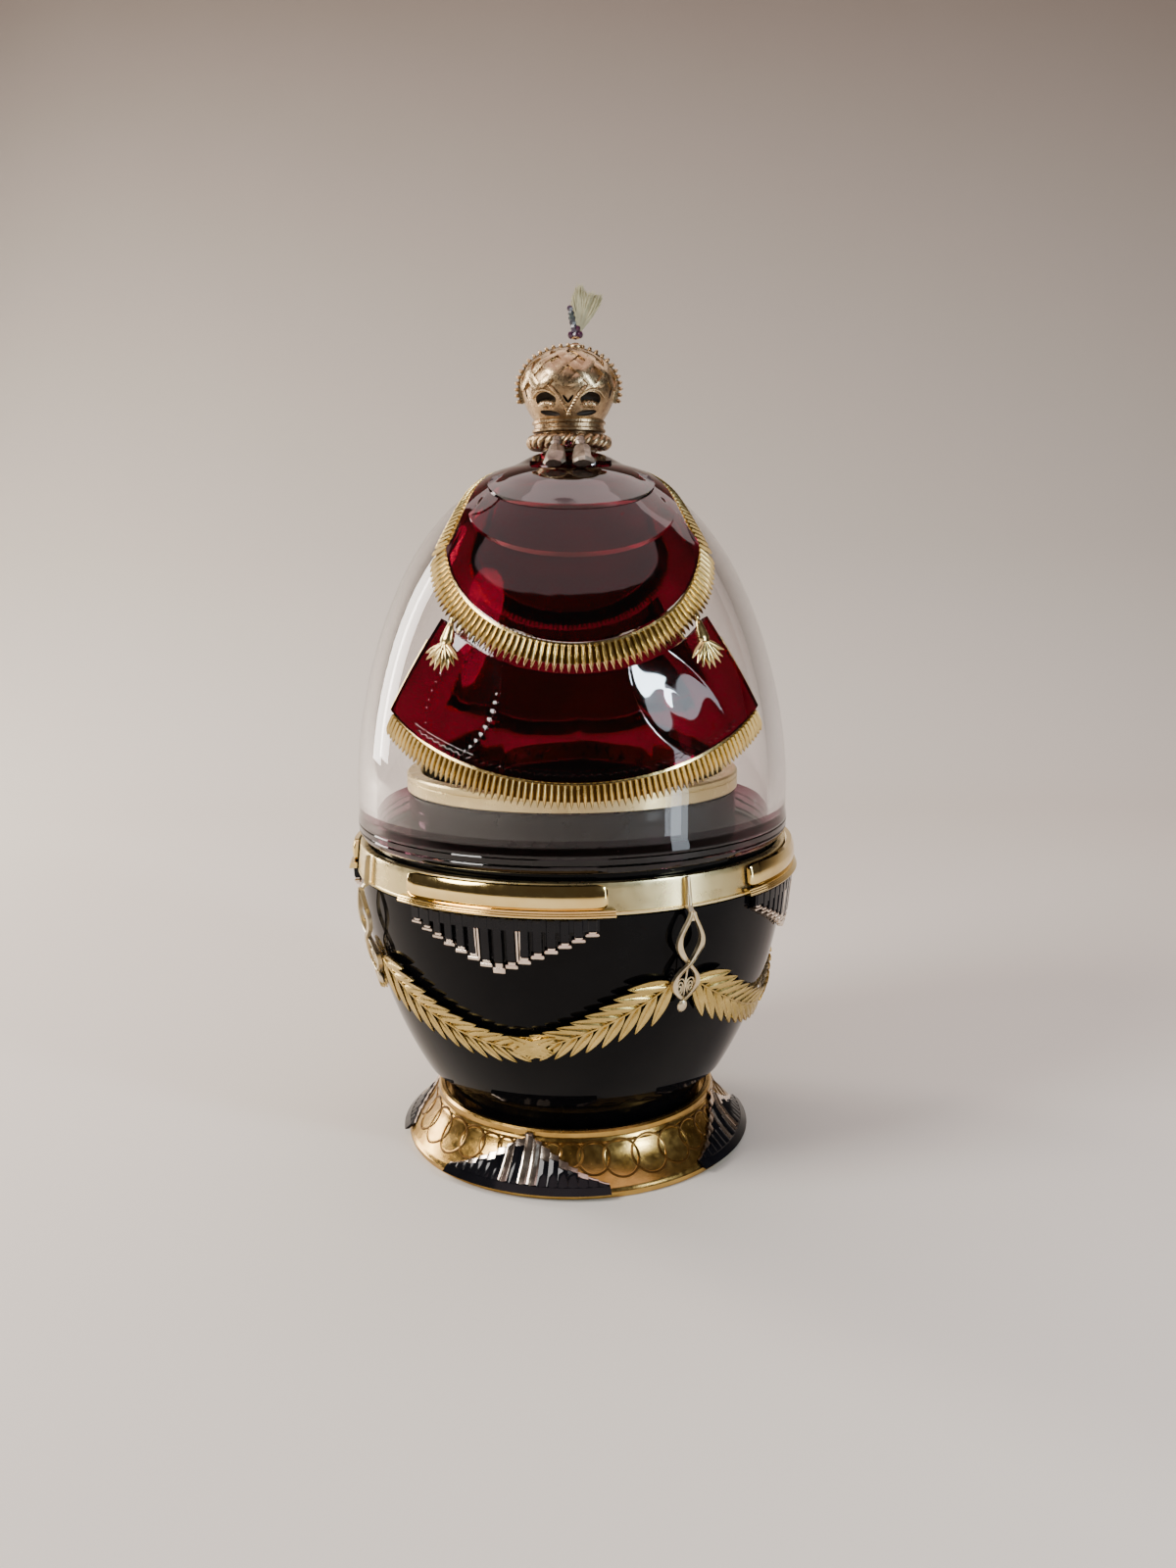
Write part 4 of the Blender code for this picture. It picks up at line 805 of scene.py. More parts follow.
def make_stepped_pendants():
    """Black bars hung from a black band under each plate, each with a small silver foot."""
    top = RIM_BASE_Z - HAIR
    middle = PENDANT_BARS // 2
    width = 2.0 * PENDANT_HALF_ARC / PENDANT_BARS * CUP_RADIUS
    band, proud = 2.0 * MM, 1.1 * MM
    shortest = 2.9 * MM

    def bend(azimuth, obj):
        def place(x, y, z):
            height = top + y
            return at(azimuth + x / CUP_RADIUS, bowl_radius_at(height) + HAIR + z, height)

        move_points(obj, place)
        return obj

    for number, azimuth in turns():
        reach = PENDANT_HALF_ARC * CUP_RADIUS
        blacks = [slab(24, 2, lambda u, v, front: (blend(-reach, reach, u), -band * v, front * 0.95 * MM))]
        silvers = []
        for bar in range(PENDANT_BARS):
            rank = middle - abs(bar - middle)
            length = blend(shortest, PENDANT_DEPTH, rank / middle)
            foot = (2.0 if rank == middle else blend(1.0, 1.45, rank / middle)) * MM
            x = blend(-reach, reach, (bar + 0.5) / PENDANT_BARS)
            blacks.append(block(width * 0.66, length - foot, proud, x, -length + foot, 0.0, 0.12 * MM))
            silvers.append(block(width * 0.98, foot * 0.55, proud + 0.05 * MM, x, -length, 0.0, 0.16 * MM))
            silvers.append(block(width * 0.60, foot, proud - 0.1 * MM, x, -length, 0.0, 0.18 * MM))
            blacks.append(block(width * 0.98, length - foot, 0.35 * MM, x, -length + foot))
            if abs(bar - middle) == 1:
                side = width * 0.5 * (1 if bar > middle else -1)
                line = (length - foot - band, proud)
                silvers.append(block(0.36 * MM, *line, x + side, -length + foot, 0.0, 0.08 * MM))
                silvers.append(block(0.26 * MM, *line, x + side * 1.45, -length + foot, 0.0, 0.08 * MM))
        dark = dress(join([bend(azimuth, obj) for obj in blacks]), ENAMEL)
        light = dress(join([bend(azimuth, obj) for obj in silvers]), FEET_SILVER)
        keep(join([dark, light]), f"stepped_pendant_{number}")


# Drop ornaments and garlands

def ribbon_centre(share):
    """How far from its middle line the ribbon runs, in a loop on one side and then on the other."""
    eye, crossing, loop, join_share = 0.24, 0.62, 0.62, 0.90
    if share < eye:
        return 0.22 * MM * share / eye
    if share < crossing:
        t = (share - eye) / (crossing - eye)
        return blend(0.22, 0.0, t) * MM + 2.0 * MM * math.sin(math.pi * t**1.25) ** 1.1
    t = min((share - loop) / (join_share - loop), 1.0)
    return -2.2 * MM * math.sin(math.pi * t**1.1) ** 0.9


def ribbon_width(share):
    narrow = 0.50 * MM
    eye = math.exp(-(((share - 0.50) / 0.09) ** 2))
    loop = math.exp(-(((share - 0.78) / 0.08) ** 2))
    return narrow + 0.50 * MM * eye + 0.42 * MM * loop


def make_drop_ornaments():
    """Two flat ribbons crossing into two loops, with filigree in the lower one and a drop below."""
    def bend(azimuth, obj):
        def place(x, y, z):
            height = RIM_TOP_Z + y
            if height > RIM_BASE_Z:
                under = rim_radius_at(height) + HAIR
            else:
                hang = (RIM_BASE_Z - height) / (DROP_HEIGHT - (RIM_TOP_Z - RIM_BASE_Z))
                under = bowl_radius_at(height) + HAIR + 1.0 * MM + (1.0 - hang) * 0.4 * MM
            return at(azimuth + x / CUP_RADIUS, under + z, height)

        move_points(obj, place)
        return obj

    for number, turn in turns():
        azimuth = turn + math.pi / REPEATS
        parts = []
        for side in (1.0, -1.0):
            def ribbon(u, v, front):
                share = v * RIBBON_SHARE
                step = 0.004
                slope = (ribbon_centre(share + step) - ribbon_centre(share - step)) / (2.0 * step * DROP_HEIGHT)
                lean = math.atan(slope)
                across = (u - 0.5) * ribbon_width(share)
                x = ribbon_centre(share) + across * math.cos(lean)
                y = -share * DROP_HEIGHT + across * math.sin(lean)
                over = 0.32 * MM * math.exp(-(((share - 0.62) / 0.05) ** 2)) if side > 0 else 0.0
                edge = 0.24 * MM * abs(2.0 * u - 1.0) ** 4
                return (side * x, y, over + front * (DROP_THICKNESS + edge))

            parts.append(slab(8, 72, ribbon))
        middle_wire = [(0.0, -0.63 * DROP_HEIGHT, 0.35 * MM), (0.0, -0.93 * DROP_HEIGHT, 0.35 * MM)]
        parts.append(tube(middle_wire, 0.16 * MM, 1))
        for side in (1.0, -1.0):
            parts.append(filigree_scroll(side))
        low_end = Matrix.Translation((0.0, -0.952 * DROP_HEIGHT, 0.45 * MM))
        parts.append(ball(0.95 * MM, (1.0, 1.25, 0.62), low_end))
        parts.append(slab(2, 6, lambda u, v, front: (
            (u - 0.5) * blend(0.5, 1.0, v) * MM, -v * 0.3 * DROP_HEIGHT, front * blend(0.75, 0.5, v) * MM
        )))
        whole = join([bend(azimuth, obj) for obj in parts])
        keep(dress(whole, RIBBON_GILT), f"drop_ornament_{number}")


def filigree_scroll(side):
    """A flat spiral of fine wire beside the middle wire."""
    points = []
    for i in range(44):
        share = i / 43.0
        swing = share * math.tau * 2.4
        across, up = blend(0.98, 0.10, share) * MM, blend(1.9, 0.25, share) * MM
        x = side * (1.0 * MM - across * math.cos(swing))
        points.append((x, FILIGREE_SHARE * -DROP_HEIGHT + up * math.sin(swing), 0.35 * MM))
    return tube(points, 0.15 * MM, 1)


def garland_height(azimuth):
    reach = math.pi / REPEATS
    low = RIM_BASE_Z - GARLAND_TOP_DROP - GARLAND_SAG
    return low + GARLAND_SAG * abs(azimuth / reach) ** GARLAND_SLACKNESS


def leaf():
    """A leaf one unit long, along y: a sunk middle vein between two swelling halves with a fine edge."""
    def place(u, v, front):
        across = 2.0 * u - 1.0
        half = 0.138 * math.sin(math.pi * min(v * 0.95 + 0.03, 1.0) ** 0.80) ** 0.85 if v < 1.0 else 0.004
        fold = 0.060 * math.sin(math.pi * min(abs(across) * 0.85, 1.0)) + 0.030 * (abs(across) > 0.9)
        lift = 0.035 + 0.085 * v * (1.6 - v)
        return (across * half, v, (lift + fold * blend(1.0, 0.3, v)) if front else lift * 0.6)

    return slab(8, 8, place)


def make_garlands():
    """Laurel swags: paired leaves on a rib from each drop ornament to where the two ends cross."""
    reach = math.pi / REPEATS - GARLAND_MARGIN
    pattern = leaf()
    for number, turn in turns():
        leaves = []
        ends = ((-reach, GARLAND_MEETING, LEFT_PAIRS), (reach, GARLAND_MEETING, RIGHT_PAIRS))
        for start, end, pairs in ends:
            leaves += leaf_pairs(pattern, start, end, pairs)
            leaves.append(rib_wire(start, end))
        leaves += crossing_leaves(pattern)
        swag = join(leaves)

        def place(x, y, z):
            return at(turn + x / CUP_RADIUS, bowl_radius_at(y) + HAIR + z, y)

        move_points(swag, place)
        keep(dress(swag, LEAF_GILT), f"garland_{number}", 40.0)
    drop(pattern)


def flat_garland_point(azimuth):
    """The rib's place on the cup unrolled flat, where x is the azimuth times the cup's largest radius."""
    return Vector((azimuth * CUP_RADIUS, garland_height(azimuth)))


def rib_wire(start, end):
    points = []
    for i in range(25):
        flat = flat_garland_point(blend(start, end, i / 24.0))
        points.append((flat.x, flat.y, 0.75 * MM))
    return tube(points, 0.22 * MM, 1)


def leaf_pairs(pattern, start, end, pairs):
    made = []
    for i in range(pairs):
        share = i / pairs
        here = flat_garland_point(blend(start, end, share))
        ahead = flat_garland_point(blend(start, end, share + 0.04))
        heading = math.atan2(ahead.y - here.y, ahead.x - here.x) - math.pi / 2.0
        length = blend(LEAF_LENGTH, LEAF_END_LENGTH, share**0.8)
        for side in (1.0, -1.0):
            spread_angle = math.radians(blend(34.0, 24.0, share)) * side
            size = Matrix.Diagonal((length * 0.95, length, length * 0.9, 1.0))
            tilt = Matrix.Rotation(math.radians(3.0), 4, "X")
            turn = Matrix.Rotation(heading + spread_angle, 4, "Z")
            where = Matrix.Translation((here.x, here.y, (0.05 + 0.012 * i) * MM))
            made.append(copy_of(pattern, where @ turn @ tilt @ size))
    return made


def crossing_leaves(pattern):
    """The tips of both ends, crossed in an X over the meeting point."""
    meeting = flat_garland_point(GARLAND_MEETING)
    made = []
    for heading, length in CROSSING_LEAVES:
        turn = Matrix.Rotation(math.radians(heading), 4, "Z")
        size = Matrix.Diagonal((length * 1.05 * MM, length * MM, length * 0.72 * MM, 1.0))
        middle = Matrix.Translation((0.0, -0.42 * length * MM, 0.0))
        where = Matrix.Translation((meeting.x, meeting.y, 0.62 * MM)) @ turn @ middle
        made.append(copy_of(pattern, where @ size))
    return made


# Dome

def make_crystal_dome():
    """The clear dome, hollow, with three fine lines round its foot."""
    profile = [(0.0, DOME_TOP_Z)]
    steps = 72
    for i in range(1, steps + 1):
        swing = math.pi / 2.0 * i / steps
        z = DOME_CURVE_Z + DOME_RISE * math.cos(swing)
        profile.append((dome_radius_at(z), z))
    foot = DOME_BASE_Z
    profile += [(DOME_RADIUS - sunk * MM, foot + lift * MM) for lift, sunk in DOME_FOOT_LINES]
    inside = DOME_RADIUS - DOME_WALL
    profile += [(DOME_RADIUS - 0.4 * MM, foot), (inside + 0.3 * MM, foot), (inside, foot + 0.3 * MM)]
    for i in range(steps + 1):
        swing = math.pi / 2.0 * (1.0 - i / steps)
        z = DOME_CURVE_Z + (DOME_RISE - DOME_WALL) * math.cos(swing)
        profile.append((dome_radius_at(z, DOME_WALL), z))
    dome = dress(turned(profile, 160), CRYSTAL, CRYSTAL_FOOT)
    for face in dome.data.polygons:
        face.material_index = int(face.center.z < foot + 4.5 * MM)
    keep(dome, "crystal_dome")


# Drapery

def top_drape_edge(u):
    """(azimuth, z) of the upper drape's edge: u is -1 at its left end, 0 lowest, 1 at its right end."""
    low_z = DOME_TOP_Z - DRAPE_DROP
    waist_z = low_z + DRAPE_WAIST
    end_z = DOME_TOP_Z - DRAPE_END_DROP
    side = -1.0 if u < 0.0 else 1.0
    share = abs(u) / DRAPE_WAIST_SHARE
    if share <= 1.0:
        swing = share * math.pi / 2.0
        z = waist_z - (waist_z - low_z) * math.cos(swing)
        across = DRAPE_HALF_WIDTH * math.sin(swing)
        return side * math.asin(min(across / dome_radius_at(z), 1.0)), z
    share = (abs(u) - DRAPE_WAIST_SHARE) / (1.0 - DRAPE_WAIST_SHARE)
    rise = math.sin(share * math.pi / 2.0)
    z = blend(waist_z, end_z, rise)
    waist_azimuth = math.asin(min(DRAPE_HALF_WIDTH / dome_radius_at(waist_z), 1.0))
    azimuth = blend(waist_azimuth, DRAPE_END_AZIMUTH, blend(rise**3.4, rise, 0.13))
    return side * azimuth, z


def top_drape_point(u, v):
    """(azimuth, radius, z) on the dome: v is 0 beside the finial and 1 at the drape's edge."""
    azimuth, z = top_drape_edge(u)
    outer = at(azimuth, dome_radius_at(z), 0.0)
    inner = at(u * DRAPE_END_AZIMUTH, SEAT_HIGH.x + HAIR, 0.0)
    point = inner.lerp(outer, v)
    radius = math.hypot(point.x, point.y)
    return math.atan2(point.x, -point.y), radius, dome_height_at(radius)


def sides(turn):
    """The two halves of the drapery, which are alike."""
    return (("front", turn), ("back", turn + math.pi))


def fold_stations():
    """(v, height, reach) down the upper drape: each fold is a nearly flat cut that rises to a step."""
    rows = []
    start = 0.0
    step = 0.004
    for low, reach in DRAPE_FOLDS:
        count = max(int((low - start) / 0.040), 3)
        hollow = DRAPE_HOLLOW * (low - start) ** 2
        for i in range(count):
            share = i / count
            height = blend(DRAPE_THIN, DRAPE_THICK, share) - hollow * 4.0 * share * (1.0 - share)
            rows.append((blend(start, low, share) + (step if start else 0.0), height, reach))
        rows.append((low - (step if low < 1.0 else 0.0), DRAPE_THICK, reach))
        start = low
    return rows


def make_top_drapes():
    rows = fold_stations()

    for side, turn in sides(DRAPE_TURN):
        def place(u, v, front):
            row_v, height, reach = rows[round(v * (len(rows) - 1))]
            across = u * 2.0 - 1.0
            azimuth, radius, z = top_drape_point(across, row_v)
            if abs(across) > reach:
                height = DRAPE_SIDE_THICK
            swell = ease(1.0 - (radius - SEAT_HIGH.x) / DRAPE_CROWN_WIDTH)
            height = max(height, blend(DRAPE_SIDE_THICK, DRAPE_CROWN, swell))
            return on_dome(turn + azimuth, radius, z, DRAPE_GAP + front * height)

        drape = slab(100, len(rows) - 1, place)
        keep(dress(drape, RUBY), f"top_drape_{side}", 20.0)


def top_drape_edge_point(across, lift=0.0):
    azimuth, z = top_drape_edge(min(max(across, -1.0), 1.0))
    return on_dome_at_height(azimuth, z, lift)


def beyond_top_drape(across, reach):
    """(azimuth, z) this far outside the upper drape's edge, along the dome."""
    step = 0.01
    here = top_drape_edge_point(across)
    along = top_drape_edge_point(across + step) - top_drape_edge_point(across - step)
    normal = top_drape_edge_point(across, MM) - here
    target = here + along.cross(normal).normalized() * reach
    radius = math.hypot(target.x, target.y)
    return math.atan2(target.x, -target.y), dome_height_at(radius)


def skirt_point(u, v):
    """(azimuth, z) on the skirt: u from -1 to 1 across, v from 0 at its top to 1 at its hem."""
    top_azimuth, top_z = beyond_top_drape(u * SKIRT_TOP_SHARE, FRINGE_WIDTH + 2.0 * HAIR)
    hem_z = DOME_TOP_Z - SKIRT_DROP + SKIRT_RISE * u * u
    return blend(top_azimuth, SKIRT_HALF_ARC * u, v), blend(top_z, hem_z, v)


def skirt_height(u, v):
    """Lens cuts with a rippled edge and two shallow folds, u from -1 to 1 and v from the top down."""
    height = DRAPE_THICK
    for centre, width, lean, middle, half in (LEFT_LENS, RIGHT_LENS):
        across = (u - centre - lean * (v - 0.5)) / width
        along = (v - middle) / half
        inside = 1.0 - math.hypot(across, along)
        if inside > 0.0:
            height -= LENS_DEPTH * min(inside * 1.3, 1.0) ** 0.6
        ripple = 0.5 + 0.5 * math.cos(LENS_RIPPLES * math.atan2(along, across))
        low_side = min(max(0.75 * along - 0.65 * math.copysign(across, centre), 0.0), 1.0)
        height -= LENS_RIPPLE_DEPTH * ripple * low_side * math.exp(-((inside / 0.09) ** 2))
    for centre, width in SKIRT_FOLDS:
        across = (u - centre - 0.2 * centre * (v - 0.5)) / width
        if abs(across) < 1.0:
            height -= SKIRT_FOLD_DEPTH * (1.0 - across * across) ** 0.6 * (0.35 + 0.65 * v)
    return height


def lens_edge(face, lens, start, end, ripple):
    """A fine raised line round part of a lens cut, between two directions in degrees from its right side."""
    centre, width, lean, middle, half = lens
    points = []
    count = 72
    for i in range(count + 1):
        swing = math.radians(blend(start, end, i / count))
        size = 1.0 + ripple * (i % 2)
        v = middle + half * size * math.sin(swing)
        points.append(face(centre + lean * (v - 0.5) + width * size * math.cos(swing), v, 0.02 * MM))
    return tube(points, 0.09 * MM, 1)


def make_skirt_drapes():
    for side, turn in sides(DRAPE_TURN):
        def face(across, v, lift):
            azimuth, z = skirt_point(across, v)
            return on_dome_at_height(turn + azimuth, z, DRAPE_GAP + skirt_height(across, v) + lift)

        def place(u, v, front):
            across = u * 2.0 - 1.0
            if front:
                return face(across, v, 0.0)
            azimuth, z = skirt_point(across, v)
            return on_dome_at_height(turn + azimuth, z, DRAPE_GAP)

        zigzag = []
        for i in range(SKIRT_ZIGZAGS + 1):
            zigzag.append(face(-0.80 + 1.6 * i / SKIRT_ZIGZAGS, 0.955 - 0.022 * (i % 2), 0.0))
        border = [face(-0.82 + 1.64 * i / 60.0, 0.905, 0.0) for i in range(61)]
        parts = [slab(220, 56, place), tube(zigzag, SKIRT_LINE, 1), tube(border, SKIRT_LINE * 0.8, 1)]
        parts.append(lens_edge(face, LEFT_LENS, -40.0, 60.0, 0.022))
        parts.append(lens_edge(face, RIGHT_LENS, 120.0, 215.0, 0.0))
        keep(dress(join(parts), RUBY), f"skirt_drape_{side}", 20.0)


# Fringes, wires and tassels

def strand():
    """One pointed half-round thread of a fringe: unit wide along x, unit long along y, unit high."""
    def place(u, v, front):
        across = 2.0 * u - 1.0
        half = 0.02
        if v < 1.0:
            half = 0.5 * min(1.0, ((1.0 - v) * 2.6) ** 0.75) * (0.86 + 0.14 * math.sin(math.pi * v))
        crown = math.sqrt(max(1.0 - across * across, 0.0))
        return (across * half, v, front * (0.06 + 0.94 * crown * min(1.0, ((1.0 - v) * 2.2 + 0.12) ** 0.8)))

    return slab(4, 6, place)


def path_by_length(point, spacing):
    """Even steps along point(t), t from 0 to 1: the t of each step's middle."""
    samples = 400
    lengths = [0.0]
    before = point(0.0)
    for i in range(1, samples + 1):
        here = point(i / samples)
        lengths.append(lengths[-1] + (here - before).length)
        before = here
    count = max(int(round(lengths[-1] / spacing)), 1)
    found, i = [], 0
    for k in range(count):
        target = lengths[-1] * (k + 0.5) / count
        while lengths[i + 1] < target:
            i += 1
        found.append((i + (target - lengths[i]) / (lengths[i + 1] - lengths[i])) / samples)
    return found


def hang_fringe(name, pattern, edge, width_at):
    """Threads along an edge over a thin dark backing, painted shade that shows between them, under a plain
    bead. edge(t, out, lift) gives a point.
    """
    parts = []
    bead = 0.27 * MM
    for t in path_by_length(lambda t: edge(t, 0.0, 0.0), STRAND_SPACING):
        width = width_at(t)
        low = DRAPE_GAP + 0.05 * MM
        root = edge(t, bead * 1.2, low)
        tip = edge(t, width, low)
        beside = (edge(t + 0.002, width / 2.0, low) - edge(t - 0.002, width / 2.0, low)).normalized()
        along = (tip - root)
        length = along.length
        along.normalize()
        outwards = beside.cross(along)
        if outwards.dot(root - Vector((0.0, 0.0, DOME_CURVE_Z))) < 0.0:
            outwards.negate()
        beside = along.cross(outwards).normalized()
        height = min(1.05 * MM, 0.5 * MM + width * 0.13)
        sizes = (beside * STRAND_SPACING * STRAND_SHARE, along * length, outwards * height)
        basis = Matrix(sizes).transposed().to_4x4()
        parts.append(copy_of(pattern, Matrix.Translation(root) @ basis))
    columns = 96

    def backing(u, v, front):
        return edge(u, bead + v * (width_at(u) * 0.72 - bead), DRAPE_GAP + front * 0.35 * MM)

    # The backing is painted shade: a dark sheet that shows in the gaps between the threads.
    parts = [dress(join(parts), FRINGE_GILT), dress(slab(columns, 2, backing), PAINTED_SHADE_GILT)]
    line = [edge(i / columns, bead, DRAPE_GAP + bead) for i in range(columns + 1)]
    parts.append(dress(tube(line, bead, 1), FRINGE_GILT))
    cord = [edge(i / columns, bead * 0.1, DRAPE_GAP + bead * 1.7) for i in range(columns + 1)]
    parts.append(dress(tube(cord, bead * 0.35, 1), FRINGE_GILT))
    keep(join(parts), name, 50.0)


def make_top_fringes(pattern):
    def width_at(t):
        across = abs(t * 2.0 - 1.0)
        narrowing = max(across - FRINGE_FULL_SHARE, 0.0) / (1.0 - FRINGE_FULL_SHARE)
        return blend(FRINGE_WIDTH, FRINGE_END_WIDTH, narrowing)

    for side, turn in sides(DRAPE_TURN):
        def edge(t, out, lift):
            azimuth, z = beyond_top_drape(t * 2.0 - 1.0, HAIR + out)
            return on_dome_at_height(turn + azimuth, z, lift)

        hang_fringe(f"top_fringe_{side}", pattern, edge, width_at)


def make_skirt_fringes(pattern):
    for side, turn in sides(DRAPE_TURN):
        def edge(t, out, lift):
            across = t * 2.0 - 1.0
            azimuth, z = skirt_point(across, 1.0)
            slope = math.atan2(2.0 * SKIRT_RISE * across, dome_radius_at(z) * SKIRT_HALF_ARC)
            reach = HAIR + out
            z -= reach * math.cos(slope)
            azimuth += reach * math.sin(slope) / dome_radius_at(z)
            return on_dome_at_height(turn + azimuth, z, lift)

        hang_fringe(f"skirt_fringe_{side}", pattern, edge, lambda t: FRINGE_WIDTH)


def make_edge_wires():
    radius = SKIRT_WIRE_RADIUS
    for side, turn in sides(DRAPE_TURN):
        for hand, across in (("left", -1.0), ("right", 1.0)):
            points = []
            for i in range(17):
                azimuth, z = skirt_point(across, blend(0.22, 1.0, i / 16.0))
                azimuth += across * (radius + HAIR) / dome_radius_at(z)
                points.append(on_dome_at_height(turn + azimuth, z, DRAPE_GAP + radius))
            keep(dress(tube(points, radius, 3), FRINGE_GILT), f"skirt_wire_{side}_{hand}")


def fan_tassel(height, bulb, petals, pattern):
    """A long bulb with a collar over a wide fan of pointed leaves, hung from the origin, face along +z."""
    outline = (
        (0.0, 0.0), (0.34, -0.01), (0.40, -0.04), (0.24, -0.075), (0.50, -0.12), (0.72, -0.22),
        (0.95, -0.38), (1.02, -0.43), (0.80, -0.465), (0.98, -0.50), (0.0, -0.51),
    )
    bell = turned([(r * bulb, z * height) for r, z in outline], 20)
    move_points(bell, lambda x, y, z: (x, z, bulb * 0.1 - y * 0.62))
    parts = [bell]
    for i in range(petals):
        share = i / (petals - 1.0)
        swing = math.radians(blend(-56.0, 56.0, share))
        length = height * blend(0.53, 0.44, abs(share * 2.0 - 1.0))
        size = Matrix.Diagonal((bulb * 0.98, length, bulb * 0.42, 1.0))
        turn = Matrix.Rotation(math.pi + swing, 4, "Z")
        where = Matrix.Translation((0.0, -height * 0.46, bulb * 0.12 * (i % 2)))
        parts.append(copy_of(pattern, where @ turn @ size))
    return join(parts)


def make_skirt_tassels(pattern):
    height = SKIRT_TASSEL_HEIGHT
    for side, turn in sides(DRAPE_TURN):
        for hand, across in (("left", -1.0), ("right", 1.0)):
            azimuth = turn + across * SKIRT_TASSEL_AZIMUTH
            top_z = DOME_TOP_Z - SKIRT_TASSEL_DROP
            lift = DRAPE_GAP + DRAPE_THICK + HAIR
            top = on_dome_at_height(azimuth, top_z, lift)
            foot = on_dome_at_height(azimuth + across * SKIRT_TASSEL_LEAN, top_z - height, lift)
            up = (top - foot).normalized()
            beside = up.cross(at(azimuth, 1.0, 0.0)).normalized()
            outwards = beside.cross(up).normalized()
            if outwards.dot(top - Vector((0.0, 0.0, DOME_CURVE_Z))) < 0.0:
                beside, outwards = -beside, -outwards
            basis = Matrix((beside, up, outwards)).transposed().to_4x4()
            tassel = fan_tassel(height, SKIRT_TASSEL_BELL, SKIRT_TASSEL_LEAVES, pattern)
            tassel.data.transform(Matrix.Translation(top) @ basis)
            close_up(tassel)
            keep(dress(tassel, FRINGE_GILT), f"skirt_tassel_{side}_{hand}", 50.0)


# Finial

def make_finial_base():
    low, high, radius = SEAT_LOW.z, SEAT_HIGH.z, SEAT_HIGH.x
    profile = [(0.0, low), (radius * 0.96, low), (radius, low + 0.2 * MM)]
    for i in range(6):
        share = i / 5.0
        waist = radius * (1.0 - 0.10 * math.sin(math.pi * share))
        profile.append((waist, blend(low + 0.4 * MM, high - 0.4 * MM, share)))
    profile += [(radius, high - 0.2 * MM), (radius * 0.96, high), (0.0, high)]
    keep(dress(turned(profile, 64), CAP_GILT), "finial_base")


def make_finial_rope():
    """A collar of two thick strands, twisted."""
    middle = (ROPE_LOW.z + ROPE_HIGH.z) / 2.0
    thick = (ROPE_HIGH.z - ROPE_LOW.z) / 2.0
    strands = []
    count = 288
    for k in range(2):
        points = []
        for i in range(count):
            azimuth = math.tau * i / count
            swing = azimuth * ROPE_TWISTS + math.pi * k
            radius = ROPE_RADIUS + thick * 0.42 * math.cos(swing)
            points.append(at(azimuth, radius, middle + thick * 0.42 * math.sin(swing)))
        strands.append(tube(points, thick * 0.56, 2, closed=True))
    keep(dress(join(strands), CAP_GILT), "finial_rope", 60.0)


def cap_point(azimuth, level, lift=0.0):
    """A point of the cap's skin: level is -1 at the neck, 0 at the widest and 1 at the crown."""
    band_top = ROPE_HIGH.z + HAIR + CAP_BAND_HEIGHT
    crown = CAP_TOP_Z
    centre = blend(band_top, crown, 0.45)
    if level >= 0.0:
        swing = level * math.pi / 2.0
        height = centre + (crown - centre + lift) * math.sin(swing)
        return at(azimuth, (CAP_RADIUS + lift) * math.cos(swing), height)
    neck = CAP_BAND_RADIUS * 0.94
    share = -level
    return at(azimuth, blend(CAP_RADIUS, neck, share**1.8) + lift, blend(centre, band_top, share))


def make_finial_cap():
    """A swelling cap of crossed bands with crescent openings, on a bright band, under a toothed arch."""
    band_low = ROPE_HIGH.z + HAIR
    spigot = ROPE_RADIUS - 1.4 * MM - HAIR
    profile = []
    for i in range(15):
        point = cap_point(0.0, 1.0 - i / 14.0)
        profile.append((abs(point.y), point.z))
    profile[0] = (0.0, profile[0][1])
    for i in range(1, 9):
        point = cap_point(0.0, -i / 8.0)
        profile.append((abs(point.y), point.z))
    profile += [
        (CAP_BAND_RADIUS, band_low + 1.95 * MM),
        (CAP_BAND_RADIUS, band_low + 1.55 * MM),
        (CAP_BAND_RADIUS - 0.35 * MM, band_low + 1.35 * MM),
        (CAP_BAND_RADIUS - 0.35 * MM, band_low + 0.75 * MM),
        (CAP_BAND_RADIUS, band_low + 0.5 * MM),
        (CAP_BAND_RADIUS, band_low + 0.1 * MM),
        (CAP_BAND_RADIUS - 0.2 * MM, band_low),
        (spigot, band_low),
        (spigot, SEAT_HIGH.z + HAIR),
        (0.0, SEAT_HIGH.z + HAIR),
    ]
    body = turned(profile, 72)
    # The second finish is painted shade for the insides of the pockets cut below.
    dress(body, CAP_GILT, POCKET_SHADE)
    for azimuth, level, size, lean in cap_openings():
        cut_pocket(body, azimuth, level, size, lean)
    parts = [body]
    for k in range(CAP_BANDS):
        for way in (1.0, -1.0):
            parts.append(cap_band(math.tau * k / CAP_BANDS, way))
    for turn in (0.0, math.pi):
        for across in (-CRESCENT_AZIMUTH, CRESCENT_AZIMUTH):
            parts.append(ribbed_lid(turn + across))
            parts += crossing_folds(turn, across)
    parts += cap_arch()
    boss = ball(1.3 * MM, (1.0, 1.0, 0.6), Matrix.Translation((STEM_OFFSET, 0.0, CAP_HIGH.z - 0.8 * MM)))
    parts.append(dress(boss, CAP_BAND_GILT))
    keep(join(parts), "finial_cap", 45.0)


